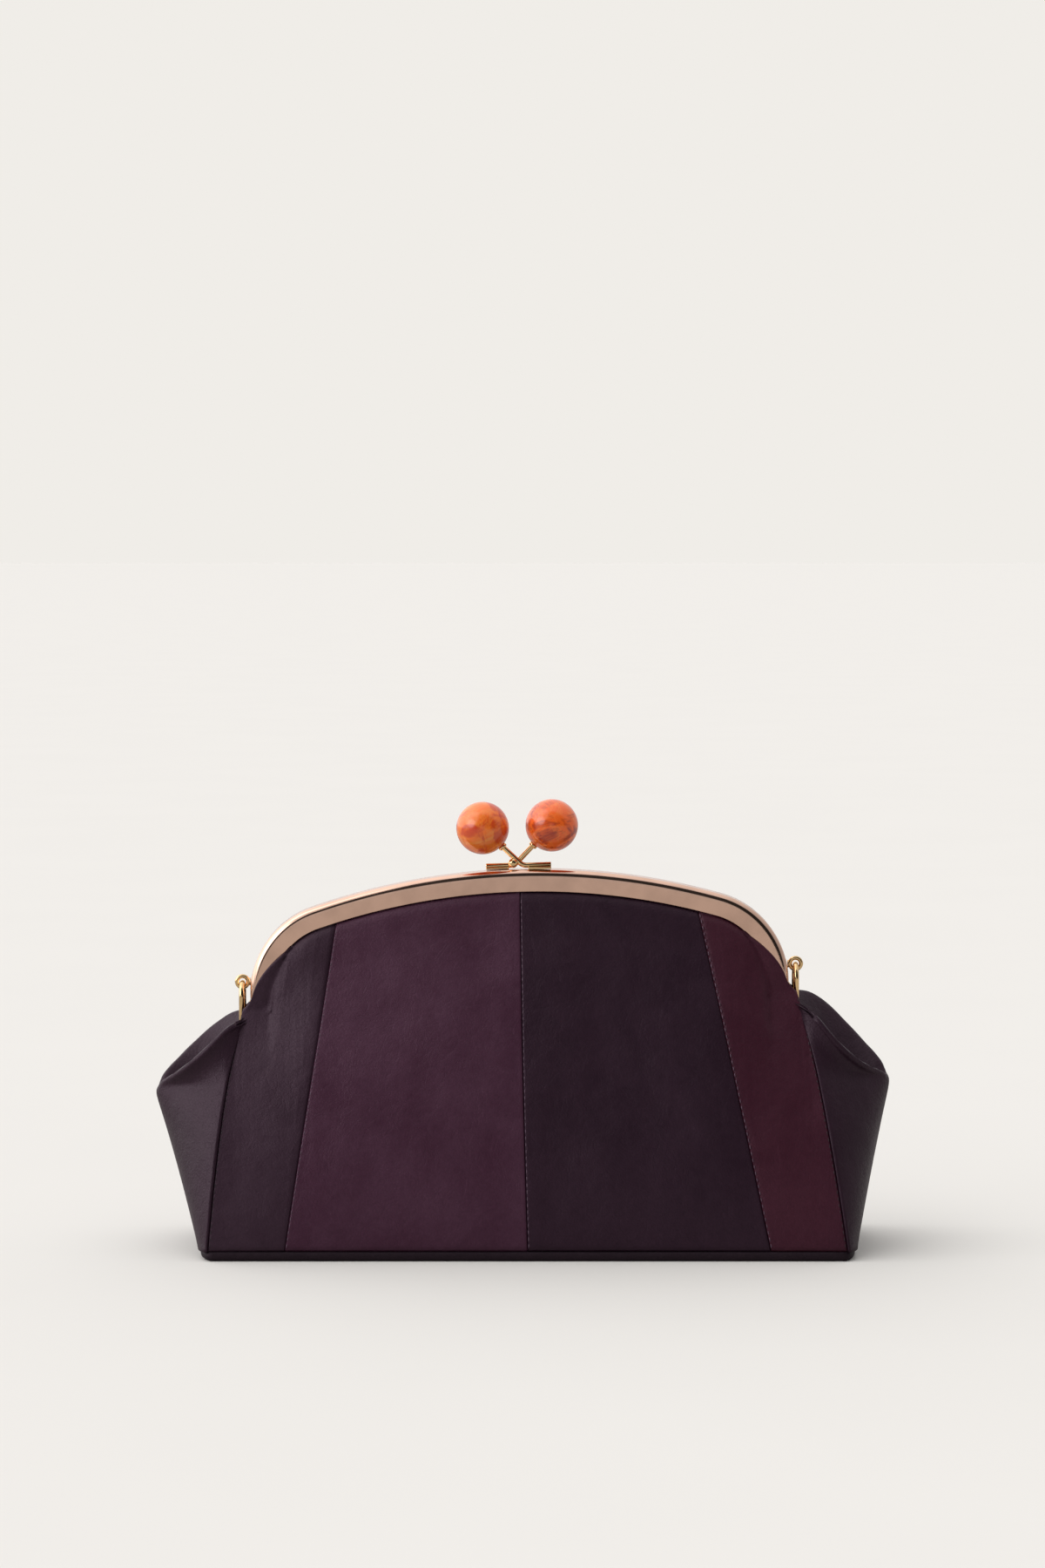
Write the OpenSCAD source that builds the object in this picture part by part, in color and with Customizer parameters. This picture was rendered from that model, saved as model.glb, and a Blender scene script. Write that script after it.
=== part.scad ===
// Kiss lock frame purse: a soft leather clutch hung from a hinged metal frame.
// Millimetres, +Z up, X along the width, the front faces -Y, the base stands on z = 0.

/* [Leather body] */
// Length of the base between the two front corner seams
base_length = 257.4; // [230:1:280]
// Depth of the base, front to rear
base_depth = 84; // [64:1:100]
// Length of the base between the middles of its two ends
base_span = 274; // [262:1:290]
// Width of the bag over its two ears
ear_span = 302.4; // [290:1:330]
// Height of the ears above the floor
ear_height = 68; // [55:1:76]
// Height of the hinges above the floor
hinge_height = 103; // [96:1:120]
// How full the front and the rear hang: a larger value is fuller
fullness = 1.45; // [1.1:0.05:2]
// Thickness of the leather
leather_t = 1.4; // [0.8:0.1:1.6]
// Thickness of the fabric lining
lining_t = 0.5; // [0.3:0.1:0.6]
// Height of the base leather's upturned rim
strip_h = 3.5; // [2.6:0.1:5]
// Thickness of the board that stiffens the base
board_t = 1.8; // [1:0.1:2]
// How far the soft body lets the frame lean to the left, in degrees
lean = 1.9; // [0:0.1:2.5]

/* [Patchwork] */
// Distance of the outer seams from the middle, at the base
seam_low_x = 98; // [85:1:108]
// Distance of the outer seams from the middle, under the frame
seam_high_x = 77; // [66:1:80]
// Distance of the middle seam from the middle, under the frame
middle_seam_x = 1.8; // [-4:0.1:4]
// Distance of the corner seams from the middle, at hinge height
corner_seam_x = 113.2; // [112:0.1:118]

/* [Gussets] */
// How far each ridge of a gusset bows out to the front or the rear
ridge_bow = 12; // [6:0.5:15]
// Half distance between the two ridges, beside the hinge
ridge_half = 12; // [11.5:0.5:14]
// How far the valley between the ridges lies below them, beside the hinge
valley_drop = 15; // [14:0.5:20]
// How far the valley sags between its two ends
valley_sag = 6; // [2:0.5:8]

/* [Frame] */
// Width of the frame over its two legs
frame_width = 221.2; // [216:0.2:222]
// Height of the frame's crest above the hinges
frame_rise = 52; // [48:1:56]
// Outer radius of the frame's shoulders
shoulder_r = 37.5; // [30:0.5:40]
// Straight length of each leg above its hinge
leg_length = 3.3; // [2.6:0.1:5]
// Depth of one half of the frame, front to rear
half_depth = 6.5; // [6.1:0.1:8]
// Width of the face that shows
face_w = 9; // [7.5:0.1:11]
// Width of the flange inside the mouth
inner_flange_w = 8; // [6:0.1:9]
// Thickness of the face and of the rim
plate_t = 1; // [0.8:0.05:1.2]
// Thickness of the flange inside the mouth
inner_flange_t = 0.8; // [0.6:0.05:1]
// How far the rim slopes up from the face to the parting line
rim_rise = 1.2; // [0.6:0.1:1.5]
// Diameter of the paper cord that wedges the leather in the frame
paper_cord_d = 2.2; // [1.6:0.1:2.3]

/* [Hinges] */
// Radius of the round hinge lugs
lug_r = 3.2; // [2.6:0.1:3.4]
// Thickness of each hinge lug
lug_t = 1; // [0.8:0.05:1.1]
// Diameter of the hinge rivets
rivet_d = 1.8; // [1.4:0.1:2.4]
// Diameter of the rivets' outer heads
rivet_head_d = 3.6; // [3:0.1:4.4]
// How far each leg's face reaches below the hinge
leg_tail = 3; // [1:0.1:3.4]

/* [Kiss lock] */
// Diameter of the two balls
ball_d = 21.6; // [18:0.2:24]
// Distance between the centres of the two balls
ball_spacing = 28.4; // [26:0.2:34]
// Height of the ball centres above the frame's crest
ball_height = 17.4; // [16:0.2:20]
// Diameter of the clasp wire
wire_d = 2.2; // [1.8:0.1:2.4]
// Slope of the clasp wires, in degrees
arm_a = 45; // [42:0.5:50]
// Radius of the wire's bend
bend_r = 4; // [3:0.1:5]
// Length from the middle to the end of each clasp wire
wire_end = 13.4; // [11:0.1:16]
// Thickness of the plates that the wires are brazed to
clasp_plate_t = 0.9; // [0.6:0.1:1.2]
// Diameter of the snap bead
bead_d = 3.4; // [3:0.1:3.8]
// Distance of the clasp from the middle of the frame
clasp_x = 1.3; // [-3:0.1:3]

/* [Strap rings] */
// Distance of the eyelets above the hinges
eyelet_rise = 9.1; // [8.5:0.1:11]
// Distance of the eyelet centres outside the legs
eyelet_out = 3.3; // [3.2:0.1:4.2]
// Diameter of the eyelets' wire
eyelet_wire_d = 1.7; // [1.4:0.1:1.8]
// Diameter of the hole in each eyelet
eyelet_hole_d = 2.9; // [2.7:0.1:3.2]
// Diameter of the rings' wire
ring_wire_d = 2.2; // [1.8:0.1:2.4]
// Height of a ring, over its wire
ring_h = 20; // [17:0.5:21]
// Width of a ring, over its wire
ring_w = 13.5; // [12:0.1:14]

/* [Inner pocket] */
// Width of the slip pocket
pocket_w = 130; // [90:1:150]
// Height of the slip pocket
pocket_h = 58; // [40:1:66]
// Height of the pocket's lower edge above the floor
pocket_low = 16; // [10:1:22]

/* [Hidden] */
$fn = 64;

// Clearances
fit_gap = 0.05;      // between pieces of one body
part_gap = 0.05;     // from each frame half to the parting plane
run_gap = 0.05;      // radial, rivet in the turning lug
lug_gap = 0.1;       // between the lugs and what they turn against
relief_gap = 0.3;    // radial, round a turning lug
sweep_gap = 0.4;     // between the lower leather and the top pieces that swing in behind it
wire_gap = 0.2;      // between the two clasp wires where they cross

// Frame arch: a long top arc, two shoulder arcs and two short straight legs
frame_half_w = frame_width / 2;
crest_z = hinge_height + frame_rise;
shoulder_z = hinge_height + leg_length;
shoulder_x = frame_half_w - shoulder_r;
arch_rise = crest_z - shoulder_z;
top_r = (pow(shoulder_x, 2) + pow(arch_rise, 2) - pow(shoulder_r, 2)) / (2 * (arch_rise - shoulder_r));
top_z = crest_z - top_r;
join_a = asin(shoulder_x / (top_r - shoulder_r));
arc_lap = 0.01;       // degrees that the top arc runs into the shoulder arcs, so that they join

// Leather in the channel: its outer face, its edge and the stack behind it
skin_y = half_depth - plate_t - 2 * fit_gap;
skin_in = 2.6;
lining_off = leather_t + fit_gap;
pocket_off = lining_off + lining_t + fit_gap;
cord_y = part_gap + inner_flange_t + fit_gap + paper_cord_d / 2;
cord_in = plate_t + paper_cord_d / 2 + 1.4;
tuck = lining_off + lining_t + sweep_gap;
top_hollow = 0.6;     // how soon the top leather draws in, so that it swings inside the lower leather

// Body grid
half_base = base_depth / 2;
ear_rows = 8;
top_rows = 7;
rows = ear_rows + top_rows;
patch_cols = 5;
flank_cols = 5;
wall_cols = 3;
gusset_half = flank_cols + wall_cols;
swing_clear = 7;      // how far the leather beside the legs stays below the hinges
dip_from = frame_half_w - 18;
dip_to = frame_half_w - 10;
ridge_in = 0.6;       // how far outside the corner seam the ridges end
ridge_drop = 2;       // how far below the hinges the ridges end
ridge_sag = 1.2;
valley_in = 1.2;      // how far outside the legs the valley ends
ease = 1.8;           // how the lean grows with height
seam_curve = 0.72;    // share of the corner seam's run-in that is straight
corner_round = 2.4;   // how square the base's corners are in plan
ear_round = 1.15;
sheet_gap = 0.3;

// Fixed sizes of small parts
rivet_head_t = 0.8;
collar_t = 1.4;
collar_wall = 0.7;
socket_depth = 5;
pocket_t = 0.6;
board_margin = 0.4;
stem_d = 1.6;

function mix(a, b, k) = a + (b - a) * k;
function clamp01(k) = min(1, max(0, k));
function smooth(k) = let (c = clamp01(k)) c * c * (3 - 2 * c);
function unit(v) = v / norm(v);

// The lean: a rotation about the base above the ears' height, fading to none at the base
lean_shift = (ear_height - strip_h) * sin(lean);
lean_full = hinge_height - swing_clear - 1;
function lean_share(z) = pow(clamp01((z - strip_h) / (lean_full - strip_h)), ease);
function leaned(p) = let (w = lean_share(p[2]), h = p[2] - strip_h, c = 1 - w * (1 - cos(lean)))
    [p[0] * c - h * sin(lean) + lean_shift, p[1], strip_h + h * c + p[0] * sin(lean) * w];

module lean_part() {
    translate([lean_shift, 0, strip_h])
        rotate([0, -lean, 0])
            translate([0, 0, -strip_h])
                children();
}

// Arch curve, by the angle of its outward direction from vertical; past 90 degrees it is the leg
function arch_point(a, inset) = let (s = sign(a), b = abs(a))
    b <= join_a ? [(top_r - inset) * sin(a), top_z + (top_r - inset) * cos(a)]
    : b <= 90 ? [s * (shoulder_x + (shoulder_r - inset) * sin(b)), shoulder_z + (shoulder_r - inset) * cos(b)]
    : [s * (frame_half_w - inset), shoulder_z - (b - 90) / 10 * leg_length];
leg_a = 100;

// Height of the face's lower edge above a place
function edge_z(x) = let (b = abs(x), r = shoulder_r - face_w)
    b <= (top_r - face_w) * sin(join_a) ? top_z + sqrt(pow(top_r - face_w, 2) - b * b)
    : b < shoulder_x + r ? shoulder_z + sqrt(pow(r, 2) - pow(b - shoulder_x, 2))
    : shoulder_z;

// Half depth of the leather body at a place
function depth(x, z) = half_base - (half_base - skin_y)
    * pow(clamp01((z - strip_h) / (edge_z(x) - strip_h)), fullness);

// Seams, from the left corner (0) to the right corner (4)
function corner_seam(z) = let (k = (z - strip_h) / (hinge_height - strip_h))
    base_length / 2 - (base_length / 2 - corner_seam_x) * (seam_curve * k + (1 - seam_curve) * pow(k, 3));
function outer_seam(z) = mix(seam_low_x, seam_high_x, (z - strip_h) / (crest_z - face_w - 12 - strip_h));
function middle_seam(z) = middle_seam_x * pow(clamp01(z / crest_z), 2);
function seam_x(k, z) = k == 0 ? -corner_seam(z) : k == 1 ? -outer_seam(z)
    : k == 2 ? middle_seam(z) : k == 3 ? outer_seam(z) : corner_seam(z);

// Upper edge of the lower leather: at hinge height, and lower beside the legs
function upper_edge(x) = hinge_height - sheet_gap - (swing_clear - sheet_gap)
    * smooth((abs(x) - dip_from) / (dip_to - dip_from));
function row_z(i, top) = i <= ear_rows ? mix(strip_h, ear_height, i / ear_rows)
    : mix(ear_height, top, (i - ear_rows) / top_rows);

// One point of the front or rear leather: seams a and b, share u between them, row i
function body_point(a, b, u, i, off, side) =
    let (top = upper_edge(mix(seam_x(a, hinge_height), seam_x(b, hinge_height), u)),
         z = row_z(i, top),
         x = mix(seam_x(a, z), seam_x(b, z), u))
    leaned([x, side * (depth(x, z) - off), z]);
function body_grid(a, b, cols, off, side) =
    [for (i = [0 : rows]) [for (j = [0 : cols])
        let (k = a + (b - a) * j / cols, s = min(floor(k + 0.0001), b - 1))
        body_point(s, s + 1, k - s, i, off, side)]];

// A sheet between an outer and an inner grid of points
module sheet(outer, inner, flip) {
    n = len(outer) - 1;
    m = len(outer[0]) - 1;
    size = (n + 1) * (m + 1);
    points = [for (row = outer) each row, for (row = inner) each row];
    function id(i, j) = i * (m + 1) + j;
    quads = [
        for (i = [0 : n - 1], j = [0 : m - 1]) [id(i, j), id(i + 1, j), id(i + 1, j + 1), id(i, j + 1)],
        for (i = [0 : n - 1], j = [0 : m - 1])
            [size + id(i, j), size + id(i, j + 1), size + id(i + 1, j + 1), size + id(i + 1, j)],
        for (j = [0 : m - 1]) [id(0, j), id(0, j + 1), size + id(0, j + 1), size + id(0, j)],
        for (j = [0 : m - 1]) [id(n, j + 1), id(n, j), size + id(n, j), size + id(n, j + 1)],
        for (i = [0 : n - 1]) [id(i + 1, 0), id(i, 0), size + id(i, 0), size + id(i + 1, 0)],
        for (i = [0 : n - 1]) [id(i, m), id(i + 1, m), size + id(i + 1, m), size + id(i, m)]
    ];
    triangles = [for (q = quads) each [[q[0], q[1], q[2]], [q[0], q[2], q[3]]]];
    polyhedron(points, flip ? [for (t = triangles) [t[2], t[1], t[0]]] : triangles, convexity = 6);
}

// Lower leather of the front (side -1) or the rear (side 1), from seam a to seam b
module body_sheet(a, b, off, thick, side) {
    sheet(body_grid(a, b, (b - a) * patch_cols, off, side),
          body_grid(a, b, (b - a) * patch_cols, off + thick, side), side > 0);
}

// Top leather, held by the frame: angle of each seam on the arch, and its place at hinge height
seam_a = asin(seam_high_x / (top_r - skin_in));
middle_a = asin(middle_seam_x / (top_r - skin_in));
leg_foot = frame_half_w - face_w - 1.3;
function top_angle(k) = k == 0 ? -leg_a : k == 1 ? -seam_a : k == 2 ? middle_a : k == 3 ? seam_a : leg_a;
function top_foot(k) = k == 0 ? -leg_foot : k == 4 ? leg_foot : seam_x(k, hinge_height);
top_patch_rows = 5;
function top_point(a, b, u, i, off, side) =
    let (ang = mix(top_angle(a), top_angle(b), u),
         foot = mix(top_foot(a), top_foot(b), u),
         edge = arch_point(ang, face_w + 0.3),
         tip = arch_point(ang, skin_in),
         v = min(1, i / top_patch_rows),
         x = i > top_patch_rows ? tip[0] : mix(foot, edge[0], v),
         z = i > top_patch_rows ? tip[1] : mix(hinge_height, edge[1], v),
         y = mix(depth(foot, hinge_height) - tuck, skin_y, pow(v, top_hollow)))
    leaned([x, side * (y - off), z]);
function top_cols(k) = k == 0 || k == 3 ? 9 : 5;
function top_grid(a, b, off, side) =
    [for (i = [0 : top_patch_rows + 1]) [for (k = [a : b - 1], j = [k == a ? 0 : 1 : top_cols(k)])
        top_point(k, k + 1, j / top_cols(k), i, off, side)]];
module top_sheet(a, b, off, thick, side) {
    sheet(top_grid(a, b, off, side), top_grid(a, b, off + thick, side), side > 0);
}

// Gusset: rows below the ear fold outward, rows above it split into two ridges and a valley
function ear_x(z) = mix(base_span / 2, ear_span / 2, (z - strip_h) / (ear_height - strip_h));
function ridge_point(t) = [mix(ear_span / 2, corner_seam_x + ridge_in, t),
    -ridge_half * t - ridge_bow * sin(180 * t),
    mix(ear_height, hinge_height - ridge_drop, t) - ridge_sag * sin(180 * t)];
function valley_point(t) = [mix(ear_span / 2, frame_half_w + valley_in, t), 0,
    mix(ear_height, hinge_height - ridge_drop - valley_drop, t) - valley_sag * sin(180 * t)];
function bulge(u, k) = 1 - pow(1 - u, k);
function fold_point(i, c) =
    let (z = row_z(i, upper_edge(corner_seam_x)),
         s = [corner_seam(z), -depth(corner_seam(z), z), z],
         t = (i - ear_rows) / top_rows,
         u = c <= flank_cols ? 0.75 * c / flank_cols : 0.75 + 0.25 * (c - flank_cols) / wall_cols,
         k = mix(corner_round, ear_round, (z - strip_h) / (ear_height - strip_h)),
         r = ridge_point(t))
    i <= ear_rows ? [mix(s[0], ear_x(z), bulge(u, k)), s[1] * (1 - u), z]
    : c <= flank_cols ? mix(s, r, c / flank_cols)
    : mix(r, valley_point(t), (c - flank_cols) / wall_cols);
function gusset_point(i, c) = c <= gusset_half ? fold_point(i, c)
    : let (p = fold_point(i, 2 * gusset_half - c)) [p[0], -p[1], p[2]];
function gusset_normal(i, c) =
    let (up = gusset_point(min(rows, i + 1), c) - gusset_point(max(0, i - 1), c),
         across = gusset_point(i, min(2 * gusset_half, c + 1)) - gusset_point(i, max(0, c - 1)),
         n = cross(up, across))
    c == 0 ? [0, 1, 0] : c == 2 * gusset_half ? [0, -1, 0] : unit(i == 0 ? [n[0], n[1], 0] : n);
function gusset_grid(off, hand) =
    [for (i = [0 : rows]) [for (c = [0 : 2 * gusset_half])
        let (p = gusset_point(i, c) + off * gusset_normal(i, c))
        leaned([hand * p[0], p[1], p[2]])]];
module gusset_sheet(off, thick, hand) {
    sheet(gusset_grid(off, hand), gusset_grid(off + thick, hand), hand < 0);
}

// Outline of the base in plan, drawn in from its edge
function base_half_outline(hand) = [for (c = [0 : 2 * gusset_half])
    let (p = gusset_point(0, c)) [hand * p[0], p[1]]];
function reversed(list) = [for (i = [len(list) - 1 : -1 : 0]) list[i]];
module base_outline(inset) {
    s = [(base_span / 2 - inset) / (base_span / 2), (half_base - inset) / half_base];
    polygon([for (p = concat(base_half_outline(1), reversed(base_half_outline(-1)))) [p[0] * s[0], p[1] * s[1]]]);
}

module base_panel() {
    color("#3a2630")
        translate([lean_shift, 0, 0])
            difference() {
                linear_extrude(strip_h) base_outline(0);
                translate([0, 0, leather_t]) linear_extrude(strip_h) base_outline(leather_t);
            }
}
module base_board() {
    color("#b9a98c")
        translate([lean_shift, 0, leather_t + fit_gap])
            linear_extrude(min(board_t, strip_h - leather_t - 2 * fit_gap))
                base_outline(leather_t + board_margin);
}
module base_lining() {
    color("#8a5a44")
        translate([lean_shift, 0, strip_h + fit_gap])
            linear_extrude(lining_t)
                base_outline(leather_t + lining_t + 3 * board_margin);
}

module patch(k, side) {
    color(["#3e2c38", "#46303f", "#2f222b", "#3f2029"][side < 0 ? k : 3 - k])
        body_sheet(k, k + 1, 0, leather_t, side);
}
module top_patch(k, side) {
    color(["#3e2c38", "#46303f", "#2f222b", "#3f2029"][side < 0 ? k : 3 - k])
        top_sheet(k, k + 1, 0, leather_t, side);
}
module gusset(hand) {
    color("#403038") gusset_sheet(0, leather_t, hand);
}
module gusset_lining(hand) {
    color("#8a5a44") gusset_sheet(lining_off, lining_t, hand);
}
module body_lining(side) {
    color("#8a5a44") body_sheet(0, 4, lining_off, lining_t, side);
}
module top_lining(side) {
    color("#8a5a44") top_sheet(0, 4, lining_off, lining_t, side);
}

// Slip pocket, sewn flat against the rear lining
pocket_rows = 6;
pocket_cols = 20;
function pocket_grid(off) = [for (i = [0 : pocket_rows]) [for (j = [0 : pocket_cols])
    let (z = pocket_low + pocket_h * i / pocket_rows, x = pocket_w * (j / pocket_cols - 0.5))
    leaned([x, depth(x, z) - off, z])]];
module inner_pocket() {
    color("#8a5a44") sheet(pocket_grid(pocket_off + sheet_gap), pocket_grid(pocket_off + sheet_gap + pocket_t), true);
}

// Cross-section of one frame half: distance in from the crest, distance from the parting plane
skin_out = [[inner_flange_w, part_gap], [0, part_gap], [0.12 * rim_rise, 0.3 * half_depth],
            [0.45 * rim_rise, 0.7 * half_depth], [rim_rise, half_depth - 0.6 * plate_t],
            [rim_rise + plate_t, half_depth], [face_w, half_depth]];
skin_inner = [[inner_flange_w, part_gap + inner_flange_t], [plate_t, part_gap + inner_flange_t],
              [plate_t + 0.12 * rim_rise, 0.4 * half_depth],
              [plate_t + 0.3 * rim_rise, half_depth - 1.8 * plate_t],
              [plate_t + 0.7 * rim_rise, half_depth - 1.2 * plate_t],
              [plate_t + rim_rise + 0.1, half_depth - plate_t], [face_w, half_depth - plate_t]];
top_steps = 16;
shoulder_steps = 14;
stations = concat([-leg_a], [for (i = [0 : shoulder_steps - 1]) mix(-90, -join_a, i / shoulder_steps)],
    [for (i = [0 : top_steps]) mix(-join_a, join_a, i / top_steps)],
    [for (i = [1 : shoulder_steps]) mix(join_a, 90, i / shoulder_steps)], [leg_a]);
function arch_grid(section) = [for (p = section) [for (a = stations)
    let (q = arch_point(a, p[0])) [q[0], -p[1], q[1]]]];

// Pin along X at hinge height on the right-hand side, between two distances
module hinge_disc(r, from, to) {
    translate([from, 0, hinge_height])
        rotate([0, 90, 0])
            cylinder(r = r, h = to - from);
}
web_x = frame_half_w - plate_t;
lug_x = web_x - lug_gap;
relief_r = lug_r + relief_gap;
relief_x = lug_x - lug_t - rivet_head_t - 2 * lug_gap;

// Side plate of one leg below the hinge, kept clear of the other leg over the whole swing
module leg_wedge() {
    translate([web_x, 0, hinge_height])
        rotate([90, 0, 90])
            linear_extrude(plate_t)
                polygon([[0, 0], [-1.14 * leg_tail, -leg_tail], [-0.9 * half_depth, -leg_tail],
                         [-0.93 * half_depth, 0.5]]);
}
module leg_face() {
    translate([frame_half_w - face_w + fit_gap, -half_depth + fit_gap, hinge_height - leg_tail])
        cube([face_w - rim_rise - plate_t, plate_t - 2 * fit_gap, leg_tail + 4 * fit_gap]);
}

module frame_half_blank() {
    difference() {
        sheet(arch_grid(skin_out), arch_grid(skin_inner), true);
        for (hand = [0, 1])
            mirror([hand, 0, 0])
                hinge_disc(relief_r, relief_x, web_x);
    }
    for (hand = [0, 1])
        mirror([hand, 0, 0])
            leg_face();
}
module front_frame_half() {
    color("#c8a284")
        lean_part()
            difference() {
                union() {
                    frame_half_blank();
                    for (hand = [0, 1])
                        mirror([hand, 0, 0]) {
                            hinge_disc(lug_r, web_x, frame_half_w);
                            leg_wedge();
                        }
                }
                for (hand = [0, 1])
                    mirror([hand, 0, 0])
                        hinge_disc(rivet_d / 2, web_x - 1, frame_half_w + 1);
            }
}

eyelet_x = frame_half_w + eyelet_out;
eyelet_y = part_gap + stem_d / 2 + 0.4;
eyelet_z = hinge_height + eyelet_rise;
module rear_frame_half() {
    color("#c8a284")
        lean_part()
            difference() {
                union() {
                    mirror([0, 1, 0])
                        difference() {
                            union() {
                                frame_half_blank();
                                for (hand = [0, 1])
                                    mirror([hand, 0, 0])
                                        leg_wedge();
                            }
                            for (hand = [0, 1])
                                mirror([hand, 0, 0])
                                    hinge_disc(relief_r, web_x - 0.5, frame_half_w + 1);
                        }
                    for (hand = [0, 1])
                        mirror([hand, 0, 0])
                            rear_lug();
                }
                for (hand = [0, 1])
                    mirror([hand, 0, 0]) {
                        hinge_disc(rivet_d / 2 + run_gap, relief_x, web_x);
                        translate([lug_x, eyelet_y, eyelet_z])
                            rotate([0, 90, 0])
                                cylinder(d = stem_d, h = 3);
                    }
            }
}
// Inner hinge lug of the rear half, stepped in from its side plate
module rear_lug() {
    hinge_disc(lug_r, lug_x - lug_t, lug_x);
    translate([lug_x - lug_t, part_gap + 0.1, hinge_height])
        cube([lug_t, half_depth - plate_t - 0.3, 2 * lug_r]);
    translate([lug_x - lug_t / 2, relief_r + 0.4, hinge_height])
        cube([lug_t / 2 + 3 * lug_gap, half_depth - plate_t - relief_r - 0.6, 2 * lug_r]);
}

module hinge_rivets() {
    color("#d8a850")
        lean_part()
            for (hand = [0, 1])
                mirror([hand, 0, 0]) {
                    hinge_disc(rivet_d / 2, lug_x - lug_t - lug_gap, frame_half_w);
                    hinge_disc(rivet_head_d / 2, frame_half_w, frame_half_w + rivet_head_t);
                    hinge_disc(rivet_d * 0.8, lug_x - lug_t - lug_gap - rivet_head_t, lug_x - lug_t - lug_gap);
                }
}

// Paper cord wedged behind the leather
cord_sides = 10;
cord_foot_a = 8;      // how far above the leg the cord ends, in degrees round the shoulder
function cord_section(radius) = [for (i = [0 : cord_sides - 1])
    [radius - cord_in + paper_cord_d / 2 * cos(360 * i / cord_sides),
     cord_y + paper_cord_d / 2 * sin(360 * i / cord_sides)]];
module paper_cord() {
    rotate([90, 0, 0]) {
        translate([0, top_z, 0])
            rotate([0, 0, 90 - join_a - arc_lap])
                rotate_extrude(angle = 2 * (join_a + arc_lap)) polygon(cord_section(top_r));
        for (hand = [0, 1])
            mirror([hand, 0, 0])
                translate([shoulder_x, shoulder_z, 0])
                    rotate([0, 0, cord_foot_a])
                        rotate_extrude(angle = 90 - join_a - cord_foot_a) polygon(cord_section(shoulder_r));
    }
}
module front_paper_cord() {
    color("#c9b27f") lean_part() paper_cord();
}
module rear_paper_cord() {
    color("#c9b27f") lean_part() mirror([0, 1, 0]) paper_cord();
}

// Kiss lock, drawn for the front half about its own middle; the rear half is its half turn
wire_r = wire_d / 2;
wire_y = (wire_d + wire_gap) / 2;
wire_z = crest_z + clasp_plate_t + wire_r - 0.5;
ball_z = crest_z + ball_height;
cross_z = ball_z - ball_spacing / 2 * tan(arm_a);
corner_x = (cross_z - wire_z) / tan(arm_a);
bend_run = bend_r * tan(arm_a / 2);
ball_bore_r = wire_r + fit_gap;

module clasp_turn(side) {
    lean_part()
        translate([clasp_x, 0, 0])
            rotate([0, 0, side > 0 ? 180 : 0])
                children();
}
// Along the straight arm, from its corner towards the ball
module on_arm() {
    translate([corner_x, -wire_y, wire_z])
        rotate([0, arm_a - 90, 0])
            children();
}
arm_length = norm([corner_x + ball_spacing / 2, ball_z - wire_z]);

module clasp_plate() {
    plate_in = corner_x + bend_run + 0.4;
    difference() {
        translate([plate_in, -half_depth + plate_t, crest_z + fit_gap])
            cube([wire_end - 0.2 - plate_in, half_depth - plate_t - 2 * fit_gap - part_gap, clasp_plate_t - fit_gap]);
        translate([0, -wire_y, wire_z])
            rotate([0, 90, 0])
                cylinder(r = wire_r + fit_gap / 2, h = wire_end + 1);
    }
}
module clasp_arm() {
    translate([corner_x + bend_run, -wire_y, wire_z])
        rotate([0, 90, 0])
            cylinder(r = wire_r, h = wire_end - corner_x - bend_run);
    translate([corner_x + bend_run, -wire_y, wire_z + bend_r])
        rotate([90, 0, 0])
            rotate([0, 0, -90 - arm_a])
                rotate_extrude(angle = arm_a)
                    translate([bend_r, 0]) circle(r = wire_r);
    on_arm()
        translate([0, 0, bend_run])
            cylinder(r = wire_r, h = arm_length - bend_run - ball_d / 2 + socket_depth);
}
module ball_collar() {
    difference() {
        on_arm()
            translate([0, 0, arm_length - ball_d / 2 - collar_t + 0.4])
                cylinder(r = wire_r + collar_wall, h = collar_t);
        on_arm() cylinder(r = ball_bore_r - fit_gap / 2, h = arm_length);
        ball_solid();
    }
}
module ball_solid() {
    translate([-ball_spacing / 2, -wire_y, ball_z])
        rotate([0, 0, 90])
            sphere(d = ball_d);
}
module ball() {
    difference() {
        ball_solid();
        on_arm()
            translate([0, 0, arm_length - ball_d])
                cylinder(r = ball_bore_r, h = ball_d / 2 + socket_depth + 0.2);
    }
}

module front_clasp_plate() { color("#d8a850") clasp_turn(-1) clasp_plate(); }
module rear_clasp_plate() { color("#d8a850") clasp_turn(1) clasp_plate(); }
module front_clasp_arm() { color("#d8a850") clasp_turn(-1) clasp_arm(); }
module rear_clasp_arm() { color("#d8a850") clasp_turn(1) clasp_arm(); }
module front_ball_collar() { color("#d8a850") clasp_turn(-1) ball_collar(); }
module rear_ball_collar() { color("#d8a850") clasp_turn(1) ball_collar(); }
module front_ball() { color("#cc6432") clasp_turn(-1) ball(); }
module rear_ball() { color("#cc6432") clasp_turn(1) ball(); }

// Bead brazed to the front arm, just left of where the wires cross
bead_x = -2;
module snap_bead() {
    color("#d8a850")
        clasp_turn(-1)
            difference() {
                translate([bead_x, -wire_y - bead_d / 4, cross_z - 0.7])
                    sphere(d = bead_d);
                on_arm() cylinder(r = ball_bore_r - fit_gap / 2, h = arm_length);
                translate([bead_x - bead_d, -part_gap - fit_gap, cross_z - bead_d])
                    cube([2 * bead_d, bead_d, 2 * bead_d]);
            }
}

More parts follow.
